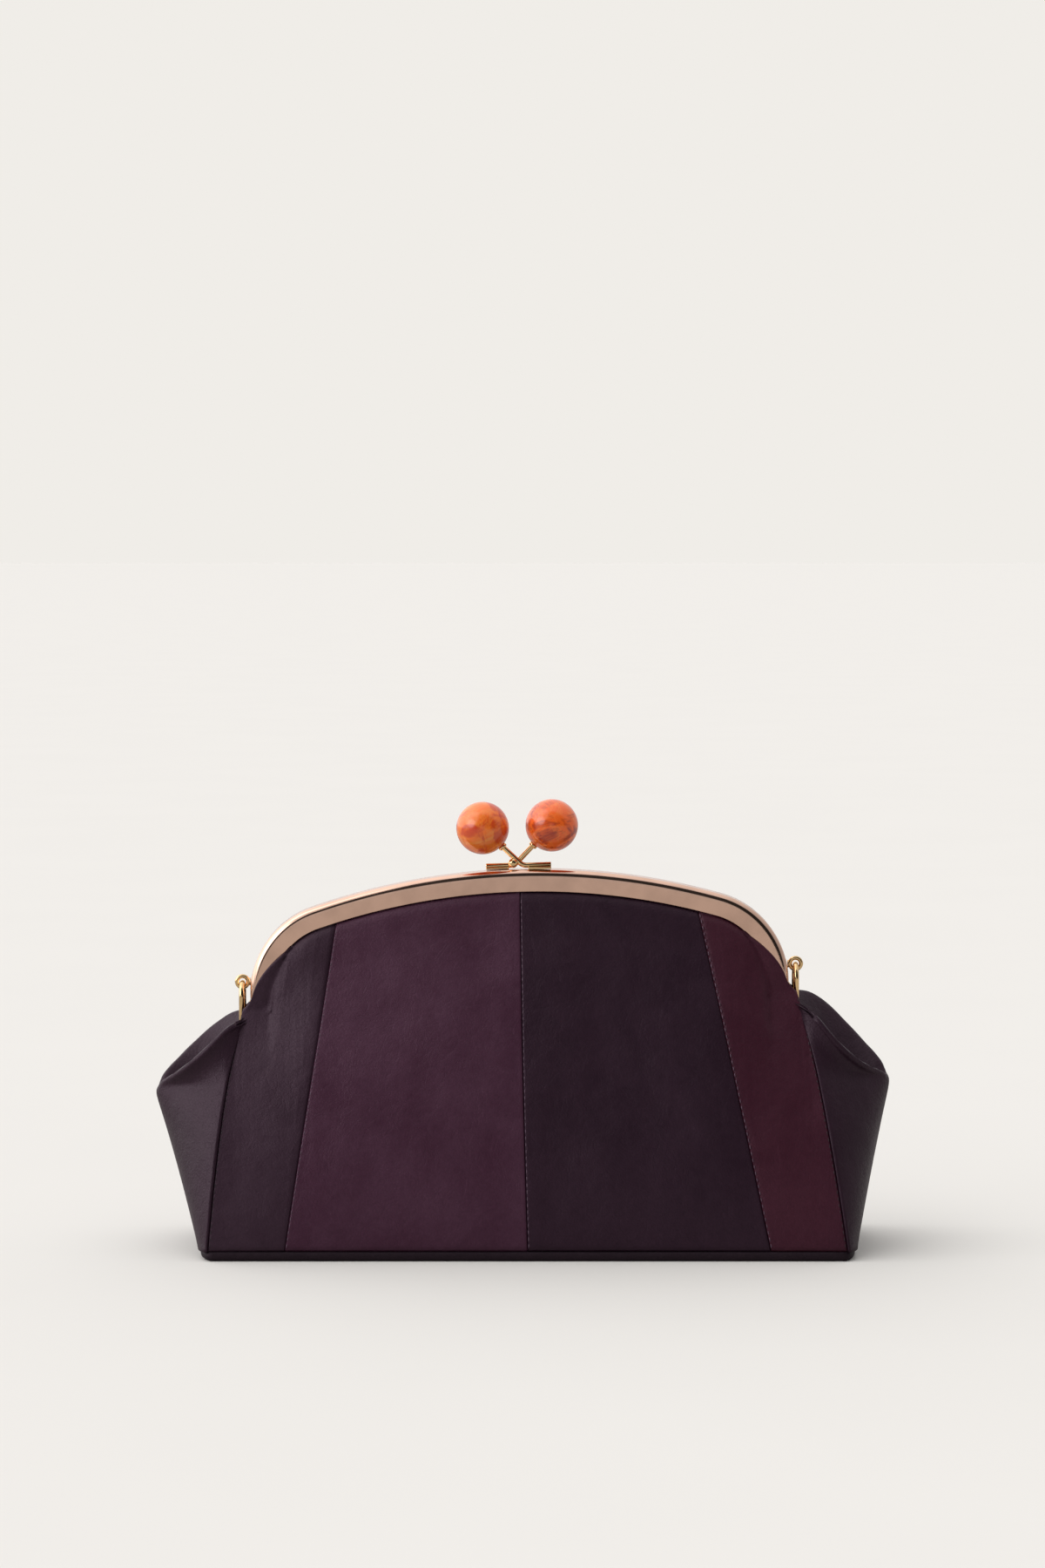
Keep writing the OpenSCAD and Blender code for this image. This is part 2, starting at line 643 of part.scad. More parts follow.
// Eyelets for the strap rings, riveted to the rear half
module ring_eyelets() {
    color("#d8a850")
        lean_part()
            for (hand = [0, 1])
                mirror([hand, 0, 0])
                    translate([eyelet_x, eyelet_y, eyelet_z]) {
                        rotate([90, 0, 0])
                            rotate_extrude()
                                translate([(eyelet_hole_d + eyelet_wire_d) / 2, 0])
                                    circle(d = eyelet_wire_d);
                        translate([-eyelet_out - plate_t, 0, 0])
                            rotate([0, 90, 0])
                                cylinder(d = stem_d - fit_gap / 2, h = eyelet_out + plate_t - eyelet_hole_d / 2 - 0.4);
                    }
}

// A strap ring hangs straight down through its eyelet
ring_bend_r = (ring_w - ring_wire_d) / 2;
ring_straight = ring_h - ring_w;
ring_rest = eyelet_hole_d / 2 - ring_wire_d / 2 - fit_gap;
function ring_pivot(hand) = let (p = leaned([hand * eyelet_x, eyelet_y, eyelet_z])) p - [0, 0, ring_rest];
module strap_ring(hand) {
    color("#d8a850")
        translate(ring_pivot(hand)) {
            for (end = [0, 1])
                translate([0, 0, -ring_bend_r - end * ring_straight])
                    rotate([90, 0, 90])
                        rotate([0, 0, end * 180])
                            rotate_extrude(angle = 180)
                                translate([ring_bend_r, 0]) circle(d = ring_wire_d);
            for (y = [-ring_bend_r, ring_bend_r])
                translate([0, y, -ring_bend_r - ring_straight])
                    cylinder(d = ring_wire_d, h = ring_straight);
        }
}

hinge_point = leaned([0, 0, hinge_height]);
echo(hinge = hinge_point, axis = [cos(lean), 0, sin(lean)]);
echo(left_ring = ring_pivot(-1), right_ring = ring_pivot(1), join = join_a, top_r = top_r, arm = arm_a);

base_panel();
base_board();
base_lining();
patch(0, -1);  // front_patch_far_left
patch(1, -1);  // front_patch_left
patch(2, -1);  // front_patch_right
patch(3, -1);  // front_patch_far_right
patch(0, 1);  // rear_patch_far_left
patch(1, 1);  // rear_patch_left
patch(2, 1);  // rear_patch_right
patch(3, 1);  // rear_patch_far_right
gusset(-1);  // left_gusset
gusset(1);  // right_gusset
gusset_lining(-1);  // left_gusset_lining
gusset_lining(1);  // right_gusset_lining
body_lining(-1);  // front_lining
body_lining(1);  // rear_lining
inner_pocket();
front_frame_half();
front_paper_cord();
top_patch(0, -1);  // front_top_far_left
top_patch(1, -1);  // front_top_left
top_patch(2, -1);  // front_top_right
top_patch(3, -1);  // front_top_far_right
top_lining(-1);  // front_top_lining
front_clasp_plate();
front_clasp_arm();
snap_bead();
front_ball_collar();
front_ball();
hinge_rivets();
rear_frame_half();
rear_paper_cord();
top_patch(0, 1);  // rear_top_far_left
top_patch(1, 1);  // rear_top_left
top_patch(2, 1);  // rear_top_right
top_patch(3, 1);  // rear_top_far_right
top_lining(1);  // rear_top_lining
rear_clasp_plate();
rear_clasp_arm();
rear_ball_collar();
rear_ball();
ring_eyelets();
strap_ring(-1);  // left_ring
strap_ring(1);  // right_ring
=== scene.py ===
import math

import bmesh
import bpy
from mathutils import Matrix, Vector, noise


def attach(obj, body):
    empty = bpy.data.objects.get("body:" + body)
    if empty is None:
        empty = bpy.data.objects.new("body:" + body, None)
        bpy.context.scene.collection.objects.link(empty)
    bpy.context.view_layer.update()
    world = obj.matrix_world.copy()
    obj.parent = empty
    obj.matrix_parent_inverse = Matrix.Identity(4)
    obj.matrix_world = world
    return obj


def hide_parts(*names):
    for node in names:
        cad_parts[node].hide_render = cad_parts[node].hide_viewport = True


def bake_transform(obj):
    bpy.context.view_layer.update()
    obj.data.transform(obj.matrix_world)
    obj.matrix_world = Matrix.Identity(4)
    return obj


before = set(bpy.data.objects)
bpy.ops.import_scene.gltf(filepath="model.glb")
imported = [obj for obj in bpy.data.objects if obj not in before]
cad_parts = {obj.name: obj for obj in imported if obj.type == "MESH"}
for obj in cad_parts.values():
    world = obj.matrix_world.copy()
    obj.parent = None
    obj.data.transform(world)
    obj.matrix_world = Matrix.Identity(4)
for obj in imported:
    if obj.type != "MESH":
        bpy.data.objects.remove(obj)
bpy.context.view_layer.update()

# Sizes in millimetres, as in the part's source
MM = 0.001
BASE_LENGTH, BASE_DEPTH, BASE_SPAN = 257.4, 84.0, 266.0
EAR_SPAN, EAR_H = 302.4, 68.0
HINGE_H = 103.0
FULLNESS = 1.45
LEATHER_T, LINING_T = 1.4, 0.5
STRIP_H = 3.5
LEAN = math.radians(1.9)
SEAM_LOW_X, SEAM_HIGH_X, MIDDLE_SEAM_X, CORNER_SEAM_X = 98.0, 74.4, 1.8, 113.2
RIDGE_BOW, RIDGE_HALF, VALLEY_DROP, VALLEY_SAG = 12.0, 12.0, 17.0, 9.0
FRAME_HALF_W = 110.6
FRAME_RISE = 52.0
SHOULDER_R = 37.5
LEG_LENGTH = 3.3
HALF_DEPTH = 6.5
FACE_W = 9.0
PLATE_T = 1.0
LUG_R = 3.2
RIVET_HEAD_R, RIVET_HEAD_T = 1.8, 0.8
BALL_D, BALL_SPACING, BALL_HEIGHT = 21.6, 28.4, 17.4
WIRE_D, WIRE_GAP, WIRE_END = 2.2, 0.2, 13.4
ARM_A = math.radians(45)
BEND_R = 4.0
CLASP_PLATE_T, CLASP_X = 0.9, 1.3
BEAD_D = 4.0
EYELET_RISE, EYELET_OUT, EYELET_WIRE_D, EYELET_HOLE_D = 9.1, 3.3, 1.7, 2.9
RING_WIRE_D, RING_H, RING_W = 2.2, 20.0, 13.5
STEM_D = 1.6
POCKET_W, POCKET_H, POCKET_LOW = 130.0, 58.0, 16.0
PART_GAP, FIT_GAP = 0.05, 0.05
SMALL = 1e-6

# Derived as in the part's source
CREST_Z = HINGE_H + FRAME_RISE
SHOULDER_Z = HINGE_H + LEG_LENGTH
SHOULDER_X = FRAME_HALF_W - SHOULDER_R
ARCH_RISE = CREST_Z - SHOULDER_Z
TOP_R = (SHOULDER_X ** 2 + ARCH_RISE ** 2 - SHOULDER_R ** 2) / (2 * (ARCH_RISE - SHOULDER_R))
TOP_Z = CREST_Z - TOP_R
JOIN_A = math.asin(SHOULDER_X / (TOP_R - SHOULDER_R))
RIGHT_A = math.pi / 2
LEG_A = math.radians(100)
HALF_BASE = BASE_DEPTH / 2
SKIN_Y = HALF_DEPTH - PLATE_T - 2 * FIT_GAP
SKIN_IN = 2.6
LEAN_SHIFT = (EAR_H - STRIP_H) * math.sin(LEAN)
LEAN_FULL = HINGE_H - 8
LEAN_EASE = 1.8
SEAM_TOP_Z = CREST_Z - FACE_W - 12
WIRE_R = WIRE_D / 2
WIRE_Y = (WIRE_D + WIRE_GAP) / 2
WIRE_Z = CREST_Z + CLASP_PLATE_T + WIRE_R - 0.5
BALL_Z = CREST_Z + BALL_HEIGHT
CROSS_Z = BALL_Z - BALL_SPACING / 2 * math.tan(ARM_A)
CORNER_X = (CROSS_Z - WIRE_Z) / math.tan(ARM_A)
BEND_RUN = BEND_R * math.tan(ARM_A / 2)
FOOT_Z = 101.8        # where the corner seams end under the hinges
SIDES = {"front": -1, "rear": 1}
HANDS = {"left": -1, "right": 1}


def mix(a, b, k):
    return a + (b - a) * k


def clamp01(k):
    return min(1.0, max(0.0, k))


def smooth(k):
    c = clamp01(k)
    return c * c * (3 - 2 * c)


def leaned(x, y, z):
    """A place on the upright purse, as it stands with its lean, in metres."""
    share = clamp01((z - STRIP_H) / (LEAN_FULL - STRIP_H)) ** LEAN_EASE
    rise = z - STRIP_H
    turned = 1 - share * (1 - math.cos(LEAN))
    return Vector((x * turned - rise * math.sin(LEAN) + LEAN_SHIFT, y,
                   STRIP_H + rise * turned + x * math.sin(LEAN) * share)) * MM


def upright(co):
    """The upright x and z, in millimetres, of a place in the leaning upper half."""
    x, h = co.x / MM - LEAN_SHIFT, co.z / MM - STRIP_H
    return (x * math.cos(LEAN) + h * math.sin(LEAN), STRIP_H + h * math.cos(LEAN) - x * math.sin(LEAN))


LEAN_PART = (Matrix.Translation((LEAN_SHIFT * MM, 0, STRIP_H * MM)) @ Matrix.Rotation(-LEAN, 4, "Y")
             @ Matrix.Translation((0, 0, -STRIP_H * MM)) @ Matrix.Diagonal((MM, MM, MM, 1)))


def arch_point(a, inset):
    """Place on the frame's arch by the angle of its outward direction; past a right angle it is the leg."""
    s, b = math.copysign(1, a), abs(a)
    if b <= JOIN_A:
        return (TOP_R - inset) * math.sin(a), TOP_Z + (TOP_R - inset) * math.cos(a)
    if b <= RIGHT_A:
        return (s * (SHOULDER_X + (SHOULDER_R - inset) * math.sin(b)),
                SHOULDER_Z + (SHOULDER_R - inset) * math.cos(b))
    return s * (FRAME_HALF_W - inset), SHOULDER_Z - (b - RIGHT_A) / (LEG_A - RIGHT_A) * LEG_LENGTH


def edge_z(x):
    """Height of the lower edge of the frame's face."""
    b, r = abs(x), SHOULDER_R - FACE_W
    if b <= (TOP_R - FACE_W) * math.sin(JOIN_A):
        return TOP_Z + math.sqrt((TOP_R - FACE_W) ** 2 - b * b)
    if b < SHOULDER_X + r:
        return SHOULDER_Z + math.sqrt(r * r - (b - SHOULDER_X) ** 2)
    return SHOULDER_Z


SHOULDER_STEPS = range(-15, 16, 3)
EASED_TO = 0.7        # share of the height up to which the shoulders are eased


def depth(x, z):
    """Half depth of the leather body, eased past the shoulders so that no crease runs down from them."""
    eased = sum(edge_z(abs(x) + step) for step in SHOULDER_STEPS) / len(SHOULDER_STEPS)
    top = mix(eased, edge_z(x), smooth((z / edge_z(x) - EASED_TO) / 0.3))
    return HALF_BASE - (HALF_BASE - SKIN_Y) * clamp01((z - STRIP_H) / (top - STRIP_H)) ** FULLNESS


def corner_seam(z):
    """Half the front's width at a height: mostly straight, bending in more towards the hinge."""
    k = (z - STRIP_H) / (HINGE_H - STRIP_H)
    return BASE_LENGTH / 2 - (BASE_LENGTH / 2 - CORNER_SEAM_X) * (0.72 * k + 0.28 * k ** 3)


def outer_seam(z):
    return mix(SEAM_LOW_X, SEAM_HIGH_X, (z - STRIP_H) / (SEAM_TOP_Z - STRIP_H))


def seam_x(k, z):
    """Where seam k lies at a height; seams 0 and 4 are the corners and 2 is the middle one."""
    if k == 2:
        return MIDDLE_SEAM_X * clamp01(z / CREST_Z) ** 2
    return (-1 if k < 2 else 1) * (corner_seam(z) if k in (0, 4) else outer_seam(z))


def seam_angle(k):
    """Where seam k meets the frame."""
    if k in (0, 4):
        return (-1 if k == 0 else 1) * LEG_A
    x = {1: -SEAM_HIGH_X, 2: MIDDLE_SEAM_X * 0.88, 3: SEAM_HIGH_X}[k]
    return math.asin(x / (TOP_R - FACE_W))


SEAM_ENDS = [FOOT_Z] + [arch_point(seam_angle(k), FACE_W)[1] for k in (1, 2, 3)] + [FOOT_Z]
OVERLAP_MOST, OVERLAP_EASE = 8.6, 1.1
OVERLAP_FROM, OVERLAP_SPAN = math.radians(41), math.radians(58)


def overlap(a):
    """How far the leather puffs over the frame's face towards the shoulder and the leg."""
    return OVERLAP_MOST * smooth((abs(a) - OVERLAP_FROM) / OVERLAP_SPAN) ** OVERLAP_EASE


# Mesh making
def named_piece(name, bm, look, turn=None, shade=True):
    """Makes an object of a bmesh in the row frame."""
    if turn is not None:
        bmesh.ops.transform(bm, matrix=turn, verts=bm.verts)
    mesh = bpy.data.meshes.new(name)
    bm.to_mesh(mesh)
    bm.free()
    for face in mesh.polygons:
        face.use_smooth = shade
    piece = bpy.data.objects.new(name, mesh)
    bpy.context.scene.collection.objects.link(piece)
    mesh.materials.append(look)
    return piece


def settle(piece):
    """Applies the piece's modifiers to its mesh."""
    graph = bpy.context.evaluated_depsgraph_get()
    graph.update()
    mesh = bpy.data.meshes.new_from_object(piece.evaluated_get(graph))
    piece.modifiers.clear()
    piece.data = mesh
    return piece


def thicken(piece, thickness, rounds=0):
    wall = piece.modifiers.new("wall", "SOLIDIFY")
    wall.thickness, wall.offset = thickness * MM, -1
    if rounds:
        soft = piece.modifiers.new("soft", "SUBSURF")
        soft.levels = soft.render_levels = rounds
    return settle(piece)


def draped_grid(across, up, place, flip=False):
    """A grid whose two shares, across and up, are put in place by a function."""
    bm = bmesh.new()
    bmesh.ops.create_grid(bm, x_segments=across, y_segments=up, size=0.5)
    for v in bm.verts:
        v.co = place(v.co.x + 0.5, v.co.y + 0.5)
    if flip:
        bmesh.ops.reverse_faces(bm, faces=bm.faces)
    return bm


def turned(bm, profile, matrix, steps=48):
    """Spins a profile of (radius, height) about the matrix's Z axis, into bm."""
    start = set(bm.verts)
    verts = [bm.verts.new((r, 0, h)) for r, h in profile]
    edges = [bm.edges.new(pair) for pair in zip(verts, verts[1:])]
    bmesh.ops.spin(bm, geom=verts + edges, cent=(0, 0, 0), axis=(0, 0, 1), angle=2 * math.pi,
                   steps=steps, use_merge=True)
    made = [v for v in bm.verts if v not in start]
    bmesh.ops.remove_doubles(bm, verts=made, dist=1e-4)
    made = [v for v in bm.verts if v not in start]
    bmesh.ops.transform(bm, matrix=matrix, verts=made)
    faces = [f for f in bm.faces if all(v not in start for v in f.verts)]
    bmesh.ops.recalc_face_normals(bm, faces=faces)


def drawn_out(bm, edges, step):
    """Extrudes edges by a step and gives back the new ones."""
    made = bmesh.ops.extrude_edge_only(bm, edges=edges)["geom"]
    bmesh.ops.translate(bm, vec=step, verts=[g for g in made if isinstance(g, bmesh.types.BMVert)])
    return [g for g in made if isinstance(g, bmesh.types.BMEdge) and all(v in made for v in g.verts)]


def swept_round(bm, edges, centre, axis, angle, steps):
    """Spins edges about an axis and gives back the last ones."""
    made = bmesh.ops.spin(bm, geom=edges, cent=centre, axis=axis, angle=angle, steps=steps)
    return [g for g in made["geom_last"] if isinstance(g, bmesh.types.BMEdge)]


class Wire:
    """A round wire drawn by its own runs and bends, from a place and a direction."""

    def __init__(self, bm, radius, start, direction, sides=20):
        self.bm, self.here, self.along = bm, Vector(start), Vector(direction).normalized()
        turn = self.along.to_track_quat("Z", "Y").to_matrix().to_4x4()
        made = bmesh.ops.create_circle(bm, cap_ends=False, radius=radius, segments=sides,
                                       matrix=Matrix.Translation(self.here) @ turn)
        self.first = self.ring = list({e for v in made["verts"] for e in v.link_edges})

    def run(self, length):
        step = self.along * length
        self.ring = drawn_out(self.bm, self.ring, step)
        self.here = self.here + step
        return self

    def bend(self, radius, angle, towards, steps=12):
        """Bends through an angle towards a direction square to the wire."""
        aside = Vector(towards).normalized()
        centre = self.here + aside * radius
        axis = self.along.cross(aside).normalized()
        self.ring = swept_round(self.bm, self.ring, centre, axis, angle, steps)
        turn = Matrix.Rotation(angle, 3, axis)
        self.here = centre + turn @ (self.here - centre)
        self.along = turn @ self.along
        return self

    def closed(self):
        """Joins the last ring to the first."""
        bmesh.ops.remove_doubles(self.bm, verts=self.bm.verts, dist=1e-3)
        bmesh.ops.recalc_face_normals(self.bm, faces=self.bm.faces)
        return self

    def capped(self, blunt=0.25):
        for ring in (self.first, self.ring):
            bmesh.ops.holes_fill(self.bm, edges=ring, sides=0)
        caps = [e for e in self.bm.edges if any(len(f.verts) > 4 for f in e.link_faces)]
        bmesh.ops.bevel(self.bm, geom=caps, offset=blunt, offset_type="OFFSET", segments=3, profile=0.5,
                        affect="EDGES", material=-1)
        bmesh.ops.recalc_face_normals(self.bm, faces=self.bm.faces)
        return self


# Shader making
class Socket:
    """A node's output that arithmetic can be written with."""

    def __init__(self, look, socket):
        self.look, self.socket = look, socket

    def maths(self, operation, first, second):
        return self.look.add("ShaderNodeMath", {"operation": operation}, {0: first, 1: second})

    def __add__(self, other):
        return self.maths("ADD", self, other)

    def __sub__(self, other):
        return self.maths("SUBTRACT", self, other)

    def __mul__(self, other):
        return self.maths("MULTIPLY", self, other)

    __radd__, __rmul__ = __add__, __mul__


def socket_name(key):
    return key.replace("_", " ").title().replace("Ior", "IOR")


def add_node(tree, kind, settings=None, values=None, output=0):
    """Makes a node, sets it, links or sets its inputs, and gives back one of its outputs."""
    node = tree.nodes.new(kind)
    for key, value in (settings or {}).items():
        setattr(node, key, value)
    for key, value in (values or {}).items():
        source = value.socket if isinstance(value, Socket) else value
        if isinstance(source, bpy.types.NodeSocket):
            tree.links.new(source, node.inputs[key])
        else:
            node.inputs[key].default_value = source
    return node.outputs[output]


def colour_ramp(tree, share, stops):
    """Colours, or levels of grey, by their place on a ramp."""
    node = tree.nodes.new("ShaderNodeValToRGB")
    while len(node.color_ramp.elements) < len(stops):
        node.color_ramp.elements.new(0.5)
    for element, (at, colour) in zip(node.color_ramp.elements, stops):
        element.position = at
        element.color = (*colour, 1) if hasattr(colour, "__len__") else (colour, colour, colour, 1)
    tree.links.new(share, node.inputs["Fac"])
    return node.outputs["Color"]


class Look:
    """A procedural material on Object coordinates."""

    def __init__(self, name, **numbers):
        self.material = bpy.data.materials.new(name)
        self.material.use_nodes = True
        self.tree = self.material.node_tree
        self.shader = self.tree.nodes["Principled BSDF"]
        for key, value in numbers.items():
            self.shader.inputs[socket_name(key)].default_value = value
        self.place = self.add("ShaderNodeTexCoord", output="Object")

    def add(self, kind, settings=None, values=None, output=0):
        return Socket(self, add_node(self.tree, kind, settings, values, output))

    def spread(self, scale=(1, 1, 1), turn=(0, 0, 0)):
        return self.add("ShaderNodeMapping", None, {"Vector": self.place, "Scale": scale, "Rotation": turn})

    def bands(self, direction, scale, uneven):
        return self.add("ShaderNodeTexWave", {"bands_direction": direction},
                        {"Vector": self.place, "Scale": scale, "Distortion": uneven}, output=1)

    def clouds(self, scale, detail=3.0, rough=0.55, warp=0.0, where=None):
        return self.add("ShaderNodeTexNoise", None,
                        {"Vector": where or self.place, "Scale": scale, "Detail": detail,
                         "Roughness": rough, "Distortion": warp})

    def cells(self, scale):
        return self.add("ShaderNodeTexVoronoi", None, {"Vector": self.place, "Scale": scale})

    def ramp(self, share, stops):
        return Socket(self, colour_ramp(self.tree, share.socket, stops))

    def blended(self, share, a, b):
        a, b = (c if isinstance(c, Socket) else (*c, 1) for c in (a, b))
        return self.add("ShaderNodeMix", {"data_type": "RGBA"}, {0: share, 6: a, 7: b}, output=2)

    def feed(self, **links):
        for key, value in links.items():
            self.tree.links.new(value.socket, self.shader.inputs[socket_name(key)])

    def bump(self, height, strength, distance, under=None):
        values = {"Height": height, "Strength": strength, "Distance": distance}
        if under is not None:
            values["Normal"] = under
        return self.add("ShaderNodeBump", None, values)


def linear(r, g, b):
    """An sRGB colour of 0 to 255 as the shader's linear one."""
    return tuple(c / 255 / 12.92 if c <= 10 else ((c / 255 + 0.055) / 1.055) ** 2.4 for c in (r, g, b))


def leather(name, colour, light, rough=0.42, veins=0.3):
    """Smooth grained lambskin: colour that drifts a little, fine pores, soft veins and a dull gloss."""
    look = Look(name, specular_ior_level=0.28, specular_tint=(1.0, 0.8, 0.93, 1.0))
    drift = look.clouds(28, 3, 0.6, 0.4)
    mottle = look.clouds(420, 2, 0.5)
    grain = look.cells(1150)
    pores = look.clouds(3400, 2, 0.6)
    vein = look.clouds(85, 5, 0.62, 1.4, look.spread((1, 1, 0.7), (0, 0.5, 0)))
    crease = look.ramp(vein, [(0.46, 1.0), (0.5, 0.0), (0.54, 1.0)])
    shade = look.ramp(drift * 0.75 + mottle * 0.25, [(0.38, colour), (0.64, light)])
    look.feed(base_color=look.blended(grain * 0.35, shade, tuple(c * 0.62 for c in colour)))
    look.feed(roughness=rough + grain * 0.16 + (drift - 0.5) * 0.12)
    soft = look.bump(look.clouds(46, 3, 0.5), 0.65, 0.0016)
    folded = look.bump(crease, veins, 0.00014, soft)
    look.feed(normal=look.bump(pores * 0.3 - grain * 0.9, 0.5, 0.00014, folded))
    return look.material


def gold(name, colour, rough):
    """Plated brass: a clear colour that dulls a little where it is handled."""
    look = Look(name, metallic=1.0)
    haze = look.clouds(70, 3, 0.6)
    fine = look.clouds(2600, 2, 0.5)
    worn = tuple(c * 0.86 for c in colour)
    look.feed(base_color=look.ramp(haze, [(0.35, worn), (0.62, colour)]))
    look.feed(roughness=rough + haze * 0.05 + fine * 0.02)
    look.feed(normal=look.bump(haze, 0.03, 0.0001))
    return look.material


def resin(name, turn, pale, middle, deep):
    """Marbled resin: clouds of amber stirred into swirls under a clear gloss."""
    look = Look(name, specular_ior_level=0.3, coat_weight=1.0, coat_roughness=0.12, coat_ior=1.6)
    stirred = look.spread((1, 1, 1), turn)
    swirl = look.clouds(36, 3, 0.55, 3.0, stirred)
    thread = look.clouds(70, 5, 0.6, 4.0, stirred)
    body = look.ramp(swirl, [(0.32, deep), (0.46, middle), (0.60, middle), (0.70, pale), (0.82, middle)])
    strands = look.ramp(thread, [(0.42, 0.0), (0.5, 1.0), (0.55, 0.0)])
    streaked = look.blended(strands * 0.4, body, pale)
    dark = look.ramp(look.clouds(44, 4, 0.55, 2.6, stirred), [(0.50, 0.0), (0.59, 1.0)])
    look.feed(base_color=look.blended(dark * 0.75, streaked, deep))
    look.feed(roughness=0.48 + thread * 0.1)
    look.feed(normal=look.bump(swirl, 0.05, 0.0002))
    return look.material


def woven(name, warp_colour, weft_colour, threads=2600):
    """Plain woven lining cloth, with so many threads to the metre."""
    look = Look(name, roughness=0.78, specular_ior_level=0.25)
    warp, weft = (look.bands(direction, threads / 6.3, 0.6) for direction in "XZ")
    slub = look.clouds(160, 3, 0.6)
    look.feed(base_color=look.ramp(warp * 0.4 + slub * 0.6, [(0.3, warp_colour), (0.7, weft_colour)]))
    look.feed(roughness=0.7 + slub * 0.16)
    look.feed(normal=look.bump(warp * weft, 0.4, 0.0001))
    return look.material


def pressed_board():
    look = Look("base_board_finish", roughness=0.9)
    fibre = look.clouds(600, 5, 0.7)
    look.feed(base_color=look.ramp(fibre, [(0.3, linear(150, 136, 112)), (0.7, linear(190, 176, 150))]))
    look.feed(normal=look.bump(fibre, 0.4, 0.0002))
    return look.material


def twisted_paper():
    look = Look("paper_cord_finish", roughness=0.85)
    twist = look.bands("DIAGONAL", 260.0, 1.5)
    look.feed(base_color=look.ramp(twist, [(0.2, linear(150, 124, 82)), (0.8, linear(214, 188, 142))]))
    look.feed(normal=look.bump(twist, 0.6, 0.0003))
    return look.material


def sewing_thread(name, colour):
    look = Look(name, roughness=0.55)
    ply = look.clouds(2400, 2, 0.5)
    look.feed(base_color=look.ramp(ply, [(0.3, tuple(c * 0.6 for c in colour)), (0.7, colour)]))
    look.feed(normal=look.bump(ply, 0.4, 0.00008))
    return look.material


PLUM = leather("plum_leather", linear(51, 32, 45), linear(61, 42, 55))
MAUVE = leather("mauve_plum_leather", linear(66, 33, 52), linear(78, 46, 65), 0.38)
DARK_PLUM = leather("dark_plum_leather", linear(38, 19, 33), linear(48, 28, 42), 0.40)
WINE = leather("wine_leather", linear(61, 21, 37), linear(71, 30, 45), 0.40)
GUSSET_LEATHER = leather("gusset_leather", linear(40, 22, 34), linear(49, 30, 43), 0.36)
BASE_LEATHER = leather("base_leather", linear(27, 16, 24), linear(33, 21, 29), 0.5, 0.15)
FRAME_GOLD = gold("champagne_gold", (0.88, 0.58, 0.45), 0.08)
SMALL_GOLD = gold("bright_gold", (0.95, 0.66, 0.34), 0.05)
LINING = woven("lining_cloth", linear(120, 78, 60), linear(146, 98, 76))
# The patch stitches' plum thread is lighter than its own colour: the extra lightness is a painted highlight
# standing in for the lit edge beside each seam.
THREAD_WITH_SEAM_HIGHLIGHT = sewing_thread("plum_thread_seam_highlight", linear(108, 84, 102))
DARK_THREAD = sewing_thread("dark_thread", linear(44, 30, 40))
LEFT_RESIN = resin("amber_resin", (0.4, 0.9, 0.2),
                   linear(255, 152, 56), linear(255, 118, 6), linear(212, 50, 0))
RIGHT_RESIN = resin("red_amber_resin", (2.1, 0.3, 1.2),
                    linear(255, 138, 52), linear(255, 104, 8), linear(160, 28, 2))
PATCH_LOOKS = [PLUM, MAUVE, DARK_PLUM, WINE]
PATCH_NAMES = ["far_left", "left", "right", "far_right"]
BLEND_EARLY, BLEND_SHORT = 0.6, 1.2   # the blend starts below the hinge and ends below the frame


def hang(piece):
    """Meant to keep the piece's lower part with the bag and let its top follow a frame half; it only bakes
    the piece's placement into its mesh, and the blend it works out for each vertex is not used.
    """
    leaned(0, 0, HINGE_H)
    leaned(0, 0, CREST_Z)
    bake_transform(piece)
    for v in piece.data.vertices:
        x, z = upright(v.co)
        smooth((z - HINGE_H + BLEND_EARLY) / (edge_z(x) - HINGE_H - BLEND_SHORT))
    return piece


# Leather of the front and rear
ROLL_W = 1.0          # how wide the rounded edge beside a seam is
ROLL_IN = 0.62        # how deep the seams lie
SEAM_CLOSER = 0.115   # draws the mesh together towards the seams
TUCK_FROM = 0.955     # share of the height from which the leather turns into the frame
LIP_OUT = 1.3         # how far the leather stands out under the frame
FOOT_ROLL_H, FOOT_ROLL_IN = 2.6, 1.5
SWELL_OUT, PULL_OUT, CRUSH_OUT = 1.3, 0.36, 0.16
PUCKERS_FROM, PUCKERS_TO = math.radians(20), math.radians(58)
PUCKER_OUT = {True: 0.6, False: 0.3}   # towards the front's right and the rear's left, and the other way


def near_edge(distance, width):
    """0 on the open leather, rising to 1 at a seam along a quarter circle."""
    k = clamp01(1 - distance / width)
    return 1 - math.sqrt(max(0.0, 1 - k * k))


def lip(x, z):
    """How far the leather stands out just under the frame."""
    below = max(0.0, edge_z(x) - z)
    return LIP_OUT * smooth(below / 2.5) * (1 - smooth((below - 3) / 16))


def soft_folds(x, z, side):
    """Slow swells and shallow folds of soft leather, in millimetres outwards."""
    high = smooth((z - 25) / 70)
    swell = SWELL_OUT * noise.noise(Vector((x / 42, z / 60, 3.1 + side)))
    pull = PULL_OUT * high * noise.noise(Vector((x / 15, z / 85, 7.7 + side)))
    crush = CRUSH_OUT * noise.noise(Vector((x / 9, z / 11, 1.3 + side)))
    return swell + pull + crush


def arch_inset(x, z):
    """How far inside the arch's outer edge a place lies."""
    b = abs(x)
    if z <= SHOULDER_Z:
        return FRAME_HALF_W - b
    if b / max(SMALL, z - TOP_Z) > math.tan(JOIN_A):
        return SHOULDER_R - math.hypot(b - SHOULDER_X, z - SHOULDER_Z)
    return TOP_R - math.hypot(b, z - TOP_Z)


CORNER_FROM = math.radians(88)


